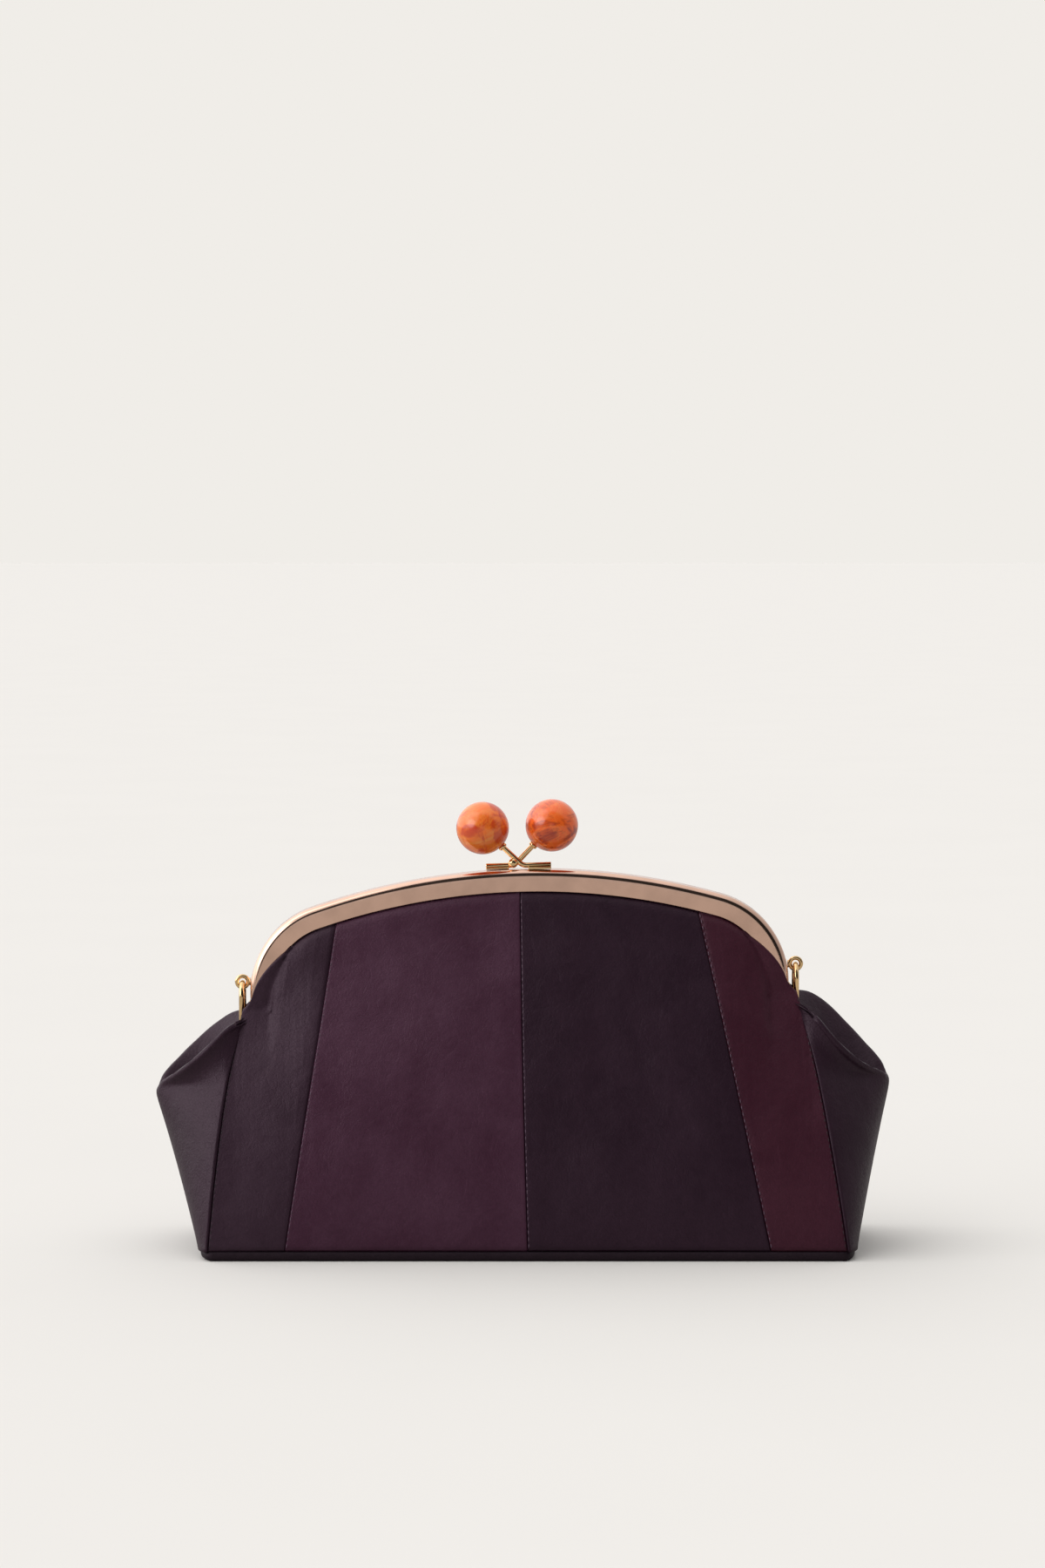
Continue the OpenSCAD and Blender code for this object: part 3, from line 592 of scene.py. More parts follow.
def leather_edge(a):
    """Upper edge of the leather: along the frame's face, and past the leg's end to the corner seam."""
    on_frame = Vector(arch_point(a, FACE_W - overlap(a)))
    corner = Vector((math.copysign(corner_seam(FOOT_Z), a), FOOT_Z))
    return mix(on_frame, corner, smooth((abs(a) - CORNER_FROM) / (LEG_A - CORNER_FROM)))


def patch_frame(k, u, v):
    """Upright x and z of a place on patch k, and its angle on the arch."""
    low = Vector((mix(seam_x(k, STRIP_H), seam_x(k + 1, STRIP_H), u), STRIP_H))
    a = mix(seam_angle(k), seam_angle(k + 1), u)
    high = leather_edge(a)
    ends = []
    for seam in (k, k + 1):
        z = mix(STRIP_H, SEAM_ENDS[seam], v)
        foot = Vector((seam_x(seam, z), z))
        ends.append((foot, Vector((seam_x(seam, STRIP_H), STRIP_H)), leather_edge(seam_angle(seam))))
    (left, left_low, left_high), (right, right_low, right_high) = ends
    straight = mix(low, high, v) + mix(left, right, u)
    corners = mix(mix(left_low, right_low, u), mix(left_high, right_high, u), v)
    return straight - corners, a


def puckers(x, z, a, side):
    """Short gathers under the shoulders, where the frame takes up the leather's fulness."""
    below = max(0.0, edge_z(x) - z)
    gathered = smooth((abs(a) - PUCKERS_FROM) / 0.3) * (1 - smooth((abs(a) - PUCKERS_TO) / 0.3))
    pucker = gathered * noise.noise(Vector((a * 13, z / 60, 5.0 + side))) * smooth(below / 2)
    return PUCKER_OUT[x * side > 0] * pucker * (1 - smooth((below - 4) / 24))


def on_the_frame(x, y, z, a):
    """Half depth of leather that puffs over the frame's face."""
    climb = 0.5 + 7 * smooth(overlap(a) / 5)
    covering = smooth((FACE_W + climb - arch_inset(x, z)) / climb) if overlap(a) > 0.05 else 0
    return max(y, mix(y, HALF_DEPTH + LEATHER_T + 0.9 * smooth(overlap(a) / 4), covering))


def tucked(x, y, z, a, t):
    """Turns the leather's upper edge into the frame: first inwards, then up where it lies under the face."""
    on_face, raised = smooth(overlap(a) / 0.8), smooth((overlap(a) - 0.3) / 1.0)
    y = mix(y, mix(SKIN_Y, HALF_DEPTH + 0.1, raised), math.sin(min(1, 2 * t) * math.pi / 2))
    inner = mix(Vector(arch_point(a, SKIN_IN)), Vector((x, z)), on_face)
    up = clamp01(2 * t - 1)
    return mix(x, inner.x, up), y, mix(z, inner.y, up)


def patch_place(k, side):
    def place(u, v):
        u -= SEAM_CLOSER * math.sin(2 * math.pi * u)
        flat, a = patch_frame(k, u, min(1.0, v / TUCK_FROM))
        x, z = flat
        across = min(u, 1 - u) * (seam_x(k + 1, z) - seam_x(k, z))
        below = max(0.0, edge_z(x) - z)
        swell = soft_folds(x, z, side) * smooth(across / 13) * smooth(below / 14) * smooth((z - 4) / 14)
        swell += puckers(x, z, a, side) * smooth(across / 3)
        y = on_the_frame(x, depth(x, z) + lip(x, z) + swell, z, a)
        y -= ROLL_IN * near_edge(across, ROLL_W) + FOOT_ROLL_IN * near_edge((z - STRIP_H), FOOT_ROLL_H)
        if v > TUCK_FROM:
            x, y, z = tucked(x, y, z, a, (v - TUCK_FROM) / (1 - TUCK_FROM))
        return leaned(x, side * y, z)
    return place


def leather_patches():
    for end, side in SIDES.items():
        for k, name in enumerate(PATCH_NAMES):
            finish = k if side < 0 else 3 - k
            wide = k in (1, 2)
            bm = draped_grid(64 if wide else 44, 96, patch_place(k, side), side > 0)
            piece = named_piece(f"{end}_leather_{name}", bm, PATCH_LOOKS[finish])
            thicken(piece, LEATHER_T - 0.2)
            hang(piece)
            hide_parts(f"{end}_patch_{name}", f"{end}_top_{name}")


# Gussets. Their rows run up to the ear and from there to the hinge, their columns over the flank from a
# corner seam to the fold and over the wall from the fold to the valley.
EAR_ROWS, TOP_ROWS, FLANK_COLS, WALL_COLS = 8, 7, 5, 3
GUSSET_HALF = FLANK_COLS + WALL_COLS
GUSSET_TOP = 100.6
FLANK_SHARE = 0.75    # share of the half depth that the flank takes below the ear
FLANK_BENDS = (7.0, 1.3)          # how sharply it turns at the base and at the ear
FRONT_LIFT = {-1: -0.3, 1: -4.2}  # how far the folds rise, left and right
REAR_LIFT = {-1: 5.2, 1: 4.6}
REAR_SWELL = {-1: 0.0, 1: 1.6}
TUCK_ROW, TUCK_X, TUCK_Y, TUCK_Z = 0.93, 6, 0.25, 1.5   # how the upper end goes in beside the hinge
WALL_SINK, END_SINK = 1.3, 1.6    # how far the lining keeps below the leather, by its thickness
FOLD_ROUNDS, CLOTH_ROUNDS = 22, 6


def row_z(i):
    if i <= EAR_ROWS:
        return mix(STRIP_H, EAR_H, i / EAR_ROWS)
    return mix(EAR_H, GUSSET_TOP, (i - EAR_ROWS) / TOP_ROWS)


def ridge_point(t):
    s = math.sin(math.pi * t)
    return Vector((mix(EAR_SPAN / 2, CORNER_SEAM_X + 0.6, t), -RIDGE_HALF * t - RIDGE_BOW * s,
                   mix(EAR_H, HINGE_H - 2, t) - 1.2 * s))


def valley_point(t):
    """The fold between the ridges: it rises again to close the gusset's end under the hinge."""
    drop = VALLEY_DROP * t * (1 - smooth((t - 0.66) / 0.34))
    return Vector((mix(EAR_SPAN / 2, FRAME_HALF_W + 1.6, t), 0,
                   mix(EAR_H, HINGE_H - 3, t) - drop - VALLEY_SAG * math.sin(math.pi * t)))


def ridge_lift(t, y, hand):
    """The front fold droops on the right, and the rear one stands up on both sides."""
    s = math.sin(math.pi * t) ** mix(0.6, 1.1, t)
    if y < 0:
        return FRONT_LIFT[hand] * s
    return REAR_LIFT[hand] * s + REAR_SWELL[hand] * math.sin(math.pi * t * t)


def fold_point(i, c):
    """Place on the front half of the right gusset by its row and column, before it is rounded."""
    z = row_z(i)
    seam = Vector((corner_seam(z), -depth(corner_seam(z), z), z))
    if i <= EAR_ROWS:
        u = FLANK_SHARE * c / FLANK_COLS
        if c > FLANK_COLS:
            u = FLANK_SHARE + (1 - FLANK_SHARE) * (c - FLANK_COLS) / WALL_COLS
        rise = (z - STRIP_H) / (EAR_H - STRIP_H)
        bend = mix(*FLANK_BENDS, rise ** 0.55)
        ear_x = mix(BASE_SPAN / 2, EAR_SPAN / 2, rise)
        return Vector((mix(seam.x, ear_x, 1 - (1 - u) ** bend), seam.y * (1 - u), z))
    t = (i - EAR_ROWS) / TOP_ROWS
    ridge = ridge_point(t)
    if c <= FLANK_COLS:
        return mix(seam, ridge, c / FLANK_COLS)
    return mix(ridge, valley_point(t), (c - FLANK_COLS) / WALL_COLS)


def gusset_place(hand, off=0.0):
    """Place on the gusset by the shares from seam to seam and upwards; off is how far the lining lies in."""
    def place(u, v):
        c, i = 2 * GUSSET_HALF * u, (EAR_ROWS + TOP_ROWS) * v
        from_seam = min(c, 2 * GUSSET_HALF - c)
        p = fold_point(i, from_seam)
        y = p.y if c <= GUSSET_HALF else -p.y
        inward = Vector((-0.8, -math.copysign(0.6, y) * smooth(abs(y) / 8), 0)) * off
        aside = (p - fold_point(i, 0)).length
        roll = ROLL_IN * near_edge(aside, ROLL_W) if off == 0 else 0
        t = clamp01((i - EAR_ROWS) / TOP_ROWS)
        from_ridge = abs(abs(u - 0.5) * 2 * GUSSET_HALF - WALL_COLS)
        lift = ridge_lift(t, y, hand) * smooth(1 - from_ridge / WALL_COLS)
        wall = smooth((from_seam - FLANK_COLS + 1.5) / 2) * smooth((i - EAR_ROWS + 1.5) / 1.5)
        sink = off * max(END_SINK * smooth((v - 0.75) / 0.25), WALL_SINK * wall)
        tuck = smooth((v - TUCK_ROW) / (1 - TUCK_ROW))
        return leaned(hand * (p.x + inward.x - TUCK_X * tuck),
                      (y + inward.y - math.copysign(roll, y)) * (1 - TUCK_Y * tuck),
                      p.z + lift - sink - TUCK_Z * tuck)
    return place


def folded_grid(across, up, place, hand, rounds):
    """A gusset's grid, with its folds rounded."""
    bm = draped_grid(across, up, place, hand > 0)
    free = [v for v in bm.verts if not v.is_boundary]
    for _ in range(rounds):
        bmesh.ops.smooth_vert(bm, verts=free, factor=0.5, use_axis_x=True, use_axis_y=True, use_axis_z=True)
    return bm


def gussets():
    for name, hand in HANDS.items():
        bm = folded_grid(96, 80, gusset_place(hand), hand, FOLD_ROUNDS)
        piece = named_piece(f"{name}_gusset_leather", bm, GUSSET_LEATHER)
        thicken(piece, LEATHER_T - 0.2)
        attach(piece, "bag")
        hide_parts(f"{name}_gusset")
        bm = folded_grid(48, 40, gusset_place(hand, LEATHER_T + 0.9), hand, CLOTH_ROUNDS)
        lining = named_piece(f"{name}_gusset_cloth", bm, LINING)
        thicken(lining, LINING_T)
        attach(lining, "bag")
        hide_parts(f"{name}_gusset_lining")


# Base
END_HALF = 0.2        # half of what each end takes of the way from front to rear


def base_edge(s):
    """Upright plan of the base: s goes once round it from the middle of the front."""
    quarter = (s % 1) * 4
    side = 1 if quarter < 2 else -1
    k = quarter if quarter <= 2 else 4 - quarter
    if abs(k - 1) > END_HALF:
        straight = min(k, 2 - k) / (1 - END_HALF)
        return Vector((side * straight * BASE_LENGTH / 2, -HALF_BASE if k < 1 else HALF_BASE))
    p = fold_point(0, GUSSET_HALF * (1 - abs(k - 1) / END_HALF))
    return Vector((side * p.x, p.y if k < 1 else -p.y))


def base_ring(inset, z):
    scale = ((BASE_SPAN / 2 - inset) / (BASE_SPAN / 2), (HALF_BASE - inset) / HALF_BASE)
    return lambda s: Vector((base_edge(s).x * scale[0] + LEAN_SHIFT, base_edge(s).y * scale[1], z)) * MM


def lofted_base(levels, across, holes, most=0):
    """A grid through rings round the base, closed where holes says so of an edge."""
    rings = [base_ring(inset, z) for inset, z in levels]

    def place(u, v):
        at = v * (len(rings) - 1)
        low = min(len(rings) - 2, int(at + SMALL))
        return mix(rings[low](u), rings[low + 1](u), at - low)
    bm = draped_grid(across, len(rings) - 1, place)
    bmesh.ops.remove_doubles(bm, verts=bm.verts, dist=SMALL)
    open_edges = [e for e in bm.edges if e.is_boundary and holes(e.verts[0].co)]
    bmesh.ops.holes_fill(bm, edges=open_edges, sides=most)
    bmesh.ops.recalc_face_normals(bm, faces=bm.faces)
    return bm


# Rings of (inset from the base's edge, height)
PANEL_RINGS = [(1.6, 3.9), (0.7, 3.9), (0.15, 3.3), (0.0, 2.5), (0.0, 1.5), (0.25, 0.7), (0.9, 0.15),
               (1.8, 0.0), (6, 0.0), (20, 0.0), (40, 0.0)]
BOARD_RINGS = [(30, 1.4), (4.4, 1.4), (4.0, 1.7), (4.0, 2.9), (4.4, 3.2), (30, 3.2)]
CLOTH_RINGS = [(inset, STRIP_H + 0.35) for inset in (3.4, 20, 40)]


def base_panel():
    bm = lofted_base(PANEL_RINGS, 320, lambda co: co.z < SMALL)
    piece = named_piece("base_leather_panel", bm, BASE_LEATHER)
    thicken(piece, 1.2)
    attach(piece, "bag")
    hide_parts("base_panel")


def base_stiffener():
    bm = lofted_base(BOARD_RINGS, 160, lambda co: True)
    piece = named_piece("stiffening_board", bm, pressed_board(), shade=False)
    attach(piece, "bag")
    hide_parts("base_board")


# Lining and pocket
LINING_TUCK = 0.94    # share of the height from which the lining turns up into the frame
LINING_OFF = LEATHER_T + 0.35
LINING_IN = 2.6       # how far inside the corner seams it ends


def lining_place(side):
    def place(u, v):
        a = mix(-LEG_A, LEG_A, u)
        high = Vector(arch_point(a, FACE_W + 0.3))
        foot_x = mix(seam_x(0, STRIP_H), seam_x(4, STRIP_H), u)
        z = mix(STRIP_H + 0.6, high[1], min(1, v / LINING_TUCK))
        x = mix(foot_x, high[0], min(1, v / LINING_TUCK))
        limit = corner_seam(min(z, HINGE_H)) - LINING_IN
        x = max(-limit, min(limit, x))
        y = depth(x, z) - LINING_OFF - 1.2 * smooth((abs(x) - 98) / 8)
        if v > LINING_TUCK:
            t = (v - LINING_TUCK) / (1 - LINING_TUCK)
            tip = arch_point(a, SKIN_IN + 1)
            x, z, y = mix(x, tip[0], t), mix(z, tip[1], t), SKIN_Y - LEATHER_T - 0.1
        return leaned(x, side * y, z)
    return place


def linings():
    for end, side in SIDES.items():
        bm = draped_grid(120, 60, lining_place(side), side > 0)
        piece = named_piece(f"{end}_lining_cloth", bm, LINING)
        thicken(piece, LINING_T)
        hang(piece)
        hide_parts(f"{end}_lining", f"{end}_top_lining")


def pocket():
    def pocket_place(u, v):
        x, z = POCKET_W * (u - 0.5), POCKET_LOW + POCKET_H * v
        sag = 1.2 * math.sin(math.pi * u) * smooth(v)
        return leaned(x, depth(x, z) - LEATHER_T - LINING_T - 0.9 - sag, z)
    bm = draped_grid(50, 24, pocket_place)
    piece = named_piece("inner_pocket_cloth", bm, LINING)
    thicken(piece, 0.6)
    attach(piece, "bag")
    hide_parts("inner_pocket")


def base_lining():
    """A sheet filled at its inner ring, which alone comes near the middle line."""
    bm = lofted_base(CLOTH_RINGS, 200, lambda co: abs(co.y) < 0.006, most=200)
    cloth = named_piece("base_lining_cloth", bm, LINING)
    thicken(cloth, LINING_T)
    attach(cloth, "bag")
    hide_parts("base_lining")


# Frame
RIM_R = 3.0           # radius of the channel's shoulder
RIM = ([(8.0, 0.05), (0.05, 0.05), (0.0, 0.3), (0.0, 1.8)]
       + [(RIM_R * (1 - math.sin(b)), HALF_DEPTH - RIM_R * (1 - math.cos(b)))
          for b in (math.radians(90 - 7.5 * i) for i in range(13))]
       + [(5.8, 6.5), (8.4, 6.5), (8.75, 6.42), (9.0, 6.2), (9.0, 5.8), (8.7, 5.55), (3.0, 5.5), (2.1, 5.25),
          (1.45, 4.5), (1.1, 3.2), (1.02, 1.0), (8.0, 0.85)])
# Arcs of the arch: centre across and up, angle, steps
ARCS = [(-SHOULDER_X, SHOULDER_Z, RIGHT_A - JOIN_A, 40), (0, TOP_Z, 2 * JOIN_A, 72),
        (SHOULDER_X, SHOULDER_Z, RIGHT_A - JOIN_A, 40)]


def frame_half(side):
    """The channel's section, run up one leg, round the arch and down the other leg."""
    bm = bmesh.new()
    verts = [bm.verts.new((-FRAME_HALF_W + inset, side * y, HINGE_H)) for inset, y in RIM]
    first = [bm.edges.new(pair) for pair in zip(verts, verts[1:] + verts[:1])]
    loop = drawn_out(bm, first, (0, 0, LEG_LENGTH))
    for x, z, angle, steps in ARCS:
        loop = swept_round(bm, loop, (x, 0, z), (0, 1, 0), angle, steps)
    loop = drawn_out(bm, loop, (0, 0, -LEG_LENGTH))
    for ends in (first, loop):
        bmesh.ops.contextual_create(bm, geom=ends)
    bmesh.ops.recalc_face_normals(bm, faces=bm.faces)
    return bm


WEB_X = FRAME_HALF_W - PLATE_T
LUG_SPANS = {"front": (WEB_X, FRAME_HALF_W), "rear": (WEB_X - 1.1, WEB_X - 0.1)}
RIVET_IN = WEB_X - 1.2
RIVET_R, RIVET_END_R, RIVET_END_T = 0.9, 1.44, 0.8
RIVET_HEAD = [(0, 0), (RIVET_HEAD_R, 0), (RIVET_HEAD_R, 0.2), (1.5, 0.55), (0.9, 0.75), (0, RIVET_HEAD_T)]
EDGE = 0.15


def across_frame(hand, x):
    """Turns a profile's height outwards along the hinge's line, from x."""
    return (Matrix.Diagonal((hand, 1, 1, 1)) @ Matrix.Translation((x, 0, HINGE_H))
            @ Matrix.Rotation(RIGHT_A, 4, "Y"))


def hinge_disc(bm, hand, radius, start, end):
    h = end - start
    profile = [(0, 0), (radius - EDGE, 0), (radius, EDGE), (radius, h - EDGE), (radius - EDGE, h), (0, h)]
    turned(bm, profile, across_frame(hand, start), 32)


def frames():
    for end, side in SIDES.items():
        bm = frame_half(side)
        for hand in (-1, 1):
            hinge_disc(bm, hand, LUG_R, *LUG_SPANS[end])
        piece = named_piece(f"{end}_frame_arch", bm, FRAME_GOLD, LEAN_PART)
        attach(piece, f"{end}_frame")
        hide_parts(f"{end}_frame_half")


def hinge_rivets():
    bm = bmesh.new()
    for hand in (-1, 1):
        hinge_disc(bm, hand, RIVET_R, RIVET_IN, FRAME_HALF_W)
        turned(bm, RIVET_HEAD, across_frame(hand, FRAME_HALF_W), 32)
        hinge_disc(bm, hand, RIVET_END_R, RIVET_IN - RIVET_END_T, RIVET_IN)
    rivets = named_piece("hinge_rivet_pair", bm, SMALL_GOLD, LEAN_PART)
    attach(rivets, "front_frame")
    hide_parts("hinge_rivets")


# Kiss lock
def clasp_turn(side):
    turn = Matrix.Rotation(math.pi, 4, "Z") if side > 0 else Matrix.Identity(4)
    return LEAN_PART @ Matrix.Translation((CLASP_X, 0, 0)) @ turn


ARM_ALONG = Vector((-math.cos(ARM_A), 0, math.sin(ARM_A)))
ARM_LENGTH = math.hypot(CORNER_X + BALL_SPACING / 2, BALL_Z - WIRE_Z)
ARM_START = Vector((CORNER_X, -WIRE_Y, WIRE_Z))
ALONG_ARM = Matrix.Translation(ARM_START) @ Matrix.Rotation(ARM_A - RIGHT_A, 4, "Y")
PLATE_LENGTH = WIRE_END - CORNER_X - BEND_RUN
PLATE_W = HALF_DEPTH - PLATE_T
COLLAR_LOW = ARM_LENGTH - BALL_D / 2 - 1.2
COLLAR = [(WIRE_R + r, COLLAR_LOW + h) for r, h in
          ((-0.05, 0), (0.35, 0), (0.7, 0.35), (0.75, 0.8), (0.6, 1.5), (-0.05, 1.6))]
NECK_A, NECK_EASE, NECK_OUT = 0.24, 0.1, 0.7   # the ball is drawn out a little where its arm goes in


def clasp_wire(end, turn):
    bm = bmesh.new()
    wire = Wire(bm, WIRE_R, (WIRE_END, -WIRE_Y, WIRE_Z), (-1, 0, 0))
    wire.run(PLATE_LENGTH)
    wire.bend(BEND_R, ARM_A, (0, 0, 1))
    wire.run(ARM_LENGTH - BEND_RUN - BALL_D / 2 + 4)
    wire.capped()
    arm = named_piece(f"{end}_clasp_wire", bm, SMALL_GOLD, turn)
    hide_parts(f"{end}_clasp_arm")
    return arm


def clasp_seat(end, turn):
    bm = bmesh.new()
    middle = Vector((WIRE_END - PLATE_LENGTH / 2 + 0.3, -PLATE_W / 2, CREST_Z + CLASP_PLATE_T / 2))
    bmesh.ops.create_cube(bm, size=1, matrix=Matrix.Translation(middle)
                          @ Matrix.Diagonal((PLATE_LENGTH - 0.6, PLATE_W - 0.3, CLASP_PLATE_T, 1)))
    bmesh.ops.bevel(bm, geom=bm.edges, offset=0.28, offset_type="OFFSET", segments=4, profile=0.5,
                    affect="EDGES", material=-1)
    plate = named_piece(f"{end}_clasp_seat", bm, SMALL_GOLD, turn)
    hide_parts(f"{end}_clasp_plate")
    return plate


def ball_cup(end, turn):
    bm = bmesh.new()
    turned(bm, COLLAR, ALONG_ARM, 40)
    collar = named_piece(f"{end}_ball_cup", bm, SMALL_GOLD, turn)
    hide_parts(f"{end}_ball_collar")
    return collar


def resin_ball(end, turn):
    bm = bmesh.new()
    centre = Vector((-BALL_SPACING / 2, -WIRE_Y, BALL_Z))
    bmesh.ops.create_icosphere(bm, subdivisions=6, radius=BALL_D / 2, matrix=Matrix.Translation(centre))
    for v in bm.verts:
        near = (v.co - centre).normalized().angle(-ARM_ALONG)
        v.co += ARM_ALONG * NECK_OUT * smooth((NECK_A - near) / NECK_EASE)
    ball = named_piece(f"{end}_resin_ball", bm, LEFT_RESIN if end == "front" else RIGHT_RESIN, turn)
    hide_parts(f"{end}_ball")
    return ball


def kiss_lock():
    for end, side in SIDES.items():
        for make in (clasp_wire, clasp_seat, ball_cup, resin_ball):
            piece = make(end, clasp_turn(side))
            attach(piece, f"{end}_frame")
    bm = bmesh.new()
    bmesh.ops.create_icosphere(bm, subdivisions=4, radius=BEAD_D / 2,
                               matrix=Matrix.Translation((-2.2, -WIRE_Y - BEAD_D * 0.36, CROSS_Z - 0.5)))
    bead = named_piece("lock_bead", bm, SMALL_GOLD, clasp_turn(-1))
    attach(bead, "front_frame")
    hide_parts("snap_bead")


# Strap rings and their eyelets
EYELET_X = FRAME_HALF_W + EYELET_OUT
EYELET_Y = PART_GAP + STEM_D / 2 + 0.4
EYELET_Z = HINGE_H + EYELET_RISE
RING_REST = EYELET_HOLE_D / 2 - RING_WIRE_D / 2 - FIT_GAP
EYELET = [((EYELET_HOLE_D + EYELET_WIRE_D) / 2 + EYELET_WIRE_D / 2 * math.cos(2 * math.pi * i / 20),
           EYELET_WIRE_D / 2 * math.sin(2 * math.pi * i / 20)) for i in range(21)]
STEM_LENGTH = EYELET_OUT - EYELET_HOLE_D / 2 - 0.4
STEM = [(0, 0), (STEM_D / 2, 0), (STEM_D / 2, STEM_LENGTH), (0, STEM_LENGTH)]
STEM_FOOT = [(0, 0.5), (1.5, 0.5), (1.6, 0.35), (1.6, 0.0), (0, 0)]
RING_BEND_R = (RING_W - RING_WIRE_D) / 2


def ring_eyelets():
    bm = bmesh.new()
    for hand in (-1, 1):
        at = Matrix.Diagonal((hand, 1, 1, 1)) @ Matrix.Translation((EYELET_X, EYELET_Y, EYELET_Z))
        turned(bm, EYELET, at @ Matrix.Rotation(RIGHT_A, 4, "X"), 48)
        on_leg = at @ Matrix.Translation((-EYELET_OUT, 0, 0)) @ Matrix.Rotation(RIGHT_A, 4, "Y")
        turned(bm, STEM, on_leg, 24)
        turned(bm, STEM_FOOT, on_leg, 28)
    eyelets = named_piece("ring_eyelet_pair", bm, SMALL_GOLD, LEAN_PART)
    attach(eyelets, "rear_frame")
    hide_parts("ring_eyelets")


def strap_rings():
    for name, hand in HANDS.items():
        pivot = leaned(hand * EYELET_X, EYELET_Y, EYELET_Z) - Vector((0, 0, RING_REST)) * MM
        bm = bmesh.new()
        wire = Wire(bm, RING_WIRE_D / 2, (0, -RING_BEND_R, -RING_BEND_R - (RING_H - RING_W)), (0, 0, 1))
        wire.run(RING_H - RING_W).bend(RING_BEND_R, math.pi, (0, 1, 0), 28)
        wire.run(RING_H - RING_W).bend(RING_BEND_R, math.pi, (0, -1, 0), 28).closed()
        ring = named_piece(f"{name}_strap_ring", bm, SMALL_GOLD,
                           Matrix.Translation(pivot) @ Matrix.Diagonal((MM, MM, MM, 1)))
        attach(ring, f"{name}_ring")
        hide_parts(f"{name}_ring")


# Stitches
PITCH = 2.7
STITCH = (0.42, 0.42, 1.7)
BESIDE = 0.5          # from the seam to its stitches


def stitch_row(bm, path):
    """Lays stitches at an even pitch along a path in metres."""
    size = Matrix.Diagonal((*(s * MM for s in STITCH), 1))
    left = PITCH * MM / 2
    for a, b in zip(path, path[1:]):
        step = b - a
        turn = step.to_track_quat("Z", "Y").to_matrix().to_4x4()
        while left < step.length:
            at = Matrix.Translation(a + step.normalized() * left)
            bmesh.ops.create_uvsphere(bm, u_segments=6, v_segments=4, radius=0.5, matrix=at @ turn @ size)
            left += PITCH * MM
        left -= step.length


def seam_path(k, side, shift, off):
    """Along seam k, shift to the side of it and off outwards."""
    rolled = ROLL_IN * near_edge(abs(shift), ROLL_W)
    points = []
    for i in range(101):
        z = mix(STRIP_H + 1.5, SEAM_ENDS[k] - 1.5, i / 100)
        x = seam_x(k, z) + shift
        points.append(leaned(x, side * (depth(x, z) + lip(x, z) - rolled + off), z))
    return points


def stitches():
    for end, side in SIDES.items():
        bm = bmesh.new()
        for k in (1, 2, 3):
            stitch_row(bm, seam_path(k, side, BESIDE, 0.04))
        # The colour of this thread carries a painted highlight of the lit seam edges.
        piece = named_piece(f"{end}_patch_stitches", bm, THREAD_WITH_SEAM_HIGHLIGHT)
        hang(piece)
        bm = bmesh.new()
        for k in (0, 4):
            stitch_row(bm, seam_path(k, side, -BESIDE if k else BESIDE, 0.02))
        piece = named_piece(f"{end}_edge_stitches", bm, DARK_THREAD)
        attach(piece, "bag")


# Room
PAPER = (0.871, 0.847, 0.807)
FLOOR = (0.726, 0.711, 0.685)
FLOOR_UNSEEN = 0.47   # what the floor throws back to other rays than the camera's, as a share of PAPER
SKY_SIDES, KEY = (1.6, 0.35), 0.6
SOFT_SKY = [(0.0, 0.28), (0.2, 0.48), (0.45, 1.48), (0.7, 1.3), (1.0, 0.85)]
BANDED_SKY = [(0.0, 0.52), (0.06, 0.52), (0.10, 0.03), (0.34, 0.03), (0.40, 0.95), (0.6, 1.1), (1.0, 0.86)]
SOFTBOX_AT, SOFTBOX = (-0.74, -0.55, 0.34), (0.93, 0.985, 0.0, 3.6)
KEY_TOWARDS = (0.74, 0.40, -0.70)
DISTANCE, PITCH_DOWN, AIM = 1.56, math.radians(3.6), Vector((0, 0, 0.1899))
HALF_VIEW = 0.3215    # from the middle of the picture to its top, at the aim
SENSOR = 36


def stage_floor():
    look = Look("floor_finish", roughness=0.9, specular_ior_level=0.0)
    low, high = (tuple(c * even for c in FLOOR) for even in (0.995, 1.005))
    paper = look.ramp(look.clouds(6, 2, 0.5), [(0.3, low), (0.7, high)])
    seen = look.add("ShaderNodeLightPath", output="Is Camera Ray")
    look.feed(base_color=look.blended(seen, tuple(c * FLOOR_UNSEEN for c in PAPER), paper))
    bm = bmesh.new()
    bmesh.ops.create_grid(bm, x_segments=1, y_segments=1, size=60)
    floor = named_piece("floor", bm, look.material, shade=False)


def spanned(tree, value, *limits):
    """Maps a value from one span, whose ends come first, to 0 and 1 or to a second span."""
    keys = ("From Min", "From Max", "To Min", "To Max")
    return add_node(tree, "ShaderNodeMapRange", None, {**dict(zip(keys, limits)), "Value": value})


def sky(tree, angle, strength, stops):
    """A background whose level follows an angle, from half a turn down to none."""
    stops = [(at, (level, level * 0.99, level * 0.985)) for at, level in stops]
    colour = colour_ramp(tree, spanned(tree, angle, math.pi, 0.0), stops)
    return add_node(tree, "ShaderNodeBackground", None, {"Color": colour, "Strength": strength})


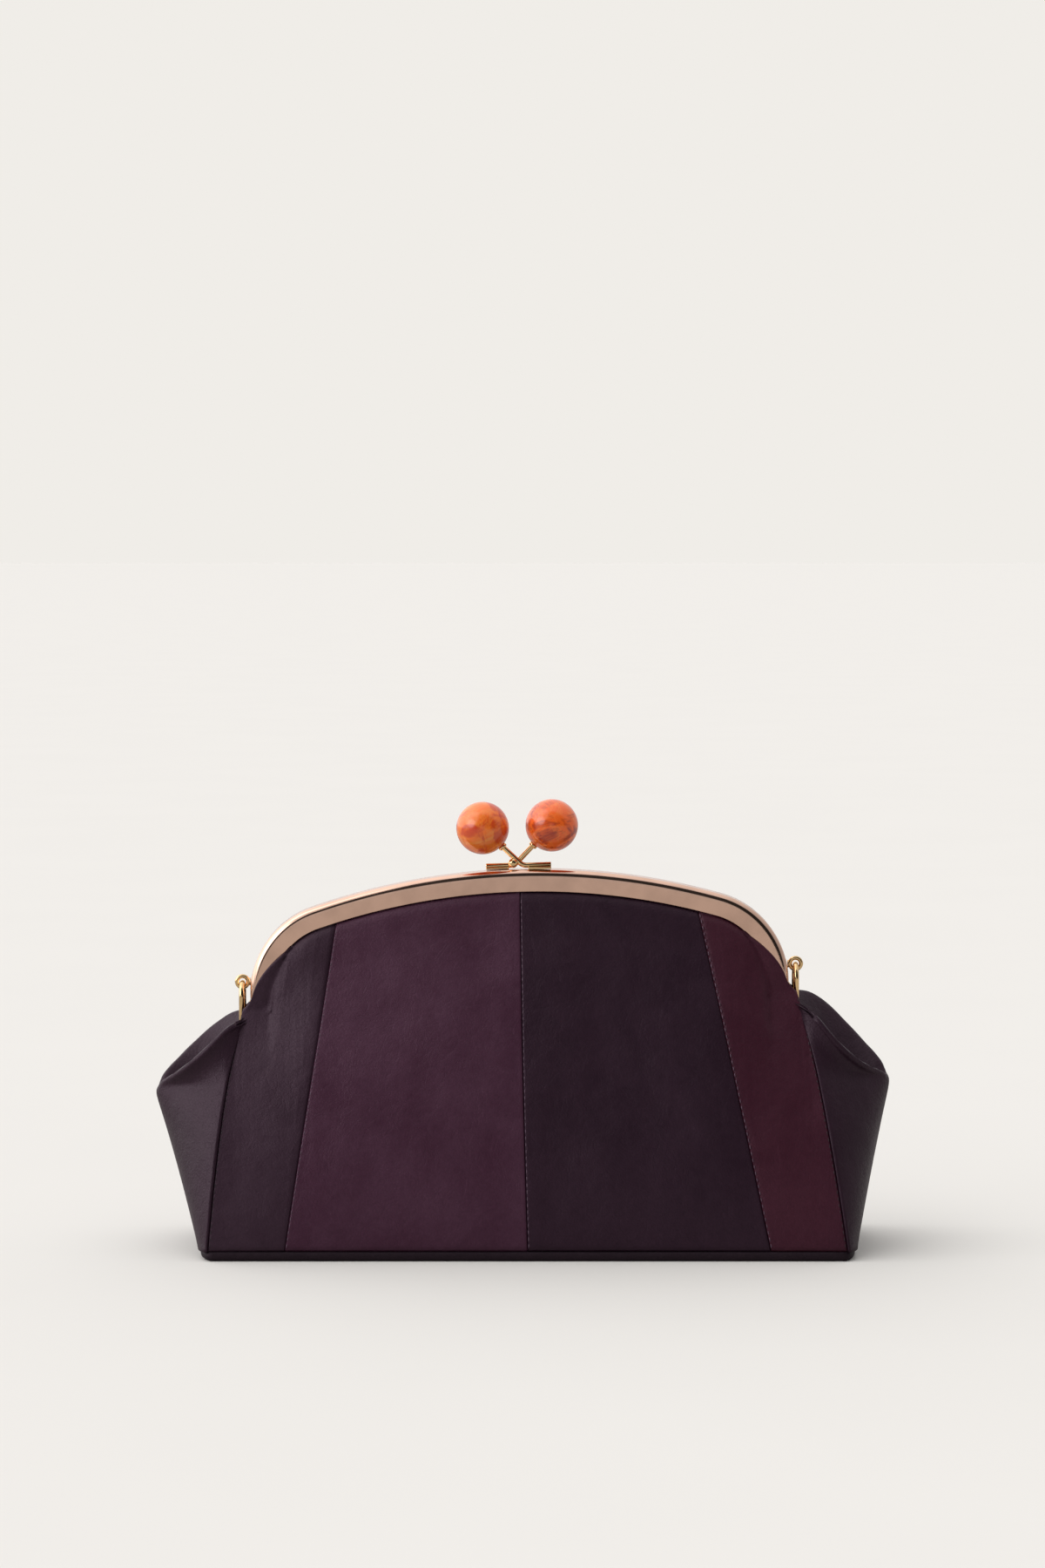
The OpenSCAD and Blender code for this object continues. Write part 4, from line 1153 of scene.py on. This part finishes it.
def studio():
    """Plain paper for the camera, a soft sky for dull light, and a banded one with a lamp for gloss."""
    world = bpy.data.worlds.new("studio_air")
    bpy.context.scene.world = world
    world.use_nodes = True
    tree = world.node_tree
    plain = tree.nodes["Background"]
    plain.inputs["Color"].default_value = (*PAPER, 1)
    towards = add_node(tree, "ShaderNodeTexCoord", output="Generated")
    x, y, z = add_node(tree, "ShaderNodeSeparateXYZ", None, {0: towards}).node.outputs
    over = add_node(tree, "ShaderNodeMath", {"operation": "ARCTAN2"}, {0: z, 1: y})
    around = add_node(tree, "ShaderNodeMath", {"operation": "ARCCOSINE"}, {0: y})
    strength = spanned(tree, x, -1.0, 1.0, *SKY_SIDES)
    soft = sky(tree, over, strength, SOFT_SKY)
    banded = sky(tree, around, strength, BANDED_SKY)
    facing = add_node(tree, "ShaderNodeVectorMath", {"operation": "DOT_PRODUCT"},
                      {0: towards, 1: Vector(SOFTBOX_AT).normalized()}, "Value")
    lamp = add_node(tree, "ShaderNodeBackground", None, {"Strength": spanned(tree, facing, *SOFTBOX)})
    mirrored = add_node(tree, "ShaderNodeAddShader", None, {0: banded, 1: lamp})
    ray = tree.nodes.new("ShaderNodeLightPath").outputs
    lit = add_node(tree, "ShaderNodeMixShader", None, {0: ray["Is Glossy Ray"], 1: soft, 2: mirrored})
    seen = add_node(tree, "ShaderNodeMixShader", None,
                    {0: ray["Is Camera Ray"], 1: lit, 2: plain.outputs[0]})
    tree.links.new(seen, tree.nodes["World Output"].inputs[0])


def key_light():
    sun = bpy.data.lights.new("key", "SUN")
    sun.energy, sun.angle, sun.color = KEY, math.radians(60), (1.0, 0.99, 0.98)
    key = bpy.data.objects.new("key", sun)
    key.rotation_euler = Vector(KEY_TOWARDS).to_track_quat("-Z", "Y").to_euler()
    bpy.context.scene.collection.objects.link(key)


def camera():
    data = bpy.data.cameras.new("camera")
    data.sensor_width = SENSOR
    obj = bpy.data.objects.new("camera", data)
    bpy.context.scene.collection.objects.link(obj)
    bpy.context.scene.camera = obj
    obj.location = AIM + Vector((0, -math.cos(PITCH_DOWN), math.sin(PITCH_DOWN))) * DISTANCE
    obj.rotation_euler = (AIM - obj.location).to_track_quat("-Z", "Y").to_euler()
    data.lens = SENSOR / 2 / (HALF_VIEW / DISTANCE)
    data.clip_start, data.clip_end = 0.05, 60


def carried_over():
    """CAD nodes whose shape is right, with their finish."""
    cord = twisted_paper()
    for name in ("front_paper_cord", "rear_paper_cord"):
        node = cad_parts[name]
        node.data.materials.clear()
        node.data.materials.append(cord)


bpy.context.scene.view_settings.view_transform = "Standard"
camera()
studio()
key_light()
stage_floor()
carried_over()
leather_patches()
gussets()
base_panel()
base_stiffener()
linings()
pocket()
base_lining()
frames()
hinge_rivets()
kiss_lock()
ring_eyelets()
strap_rings()
stitches()
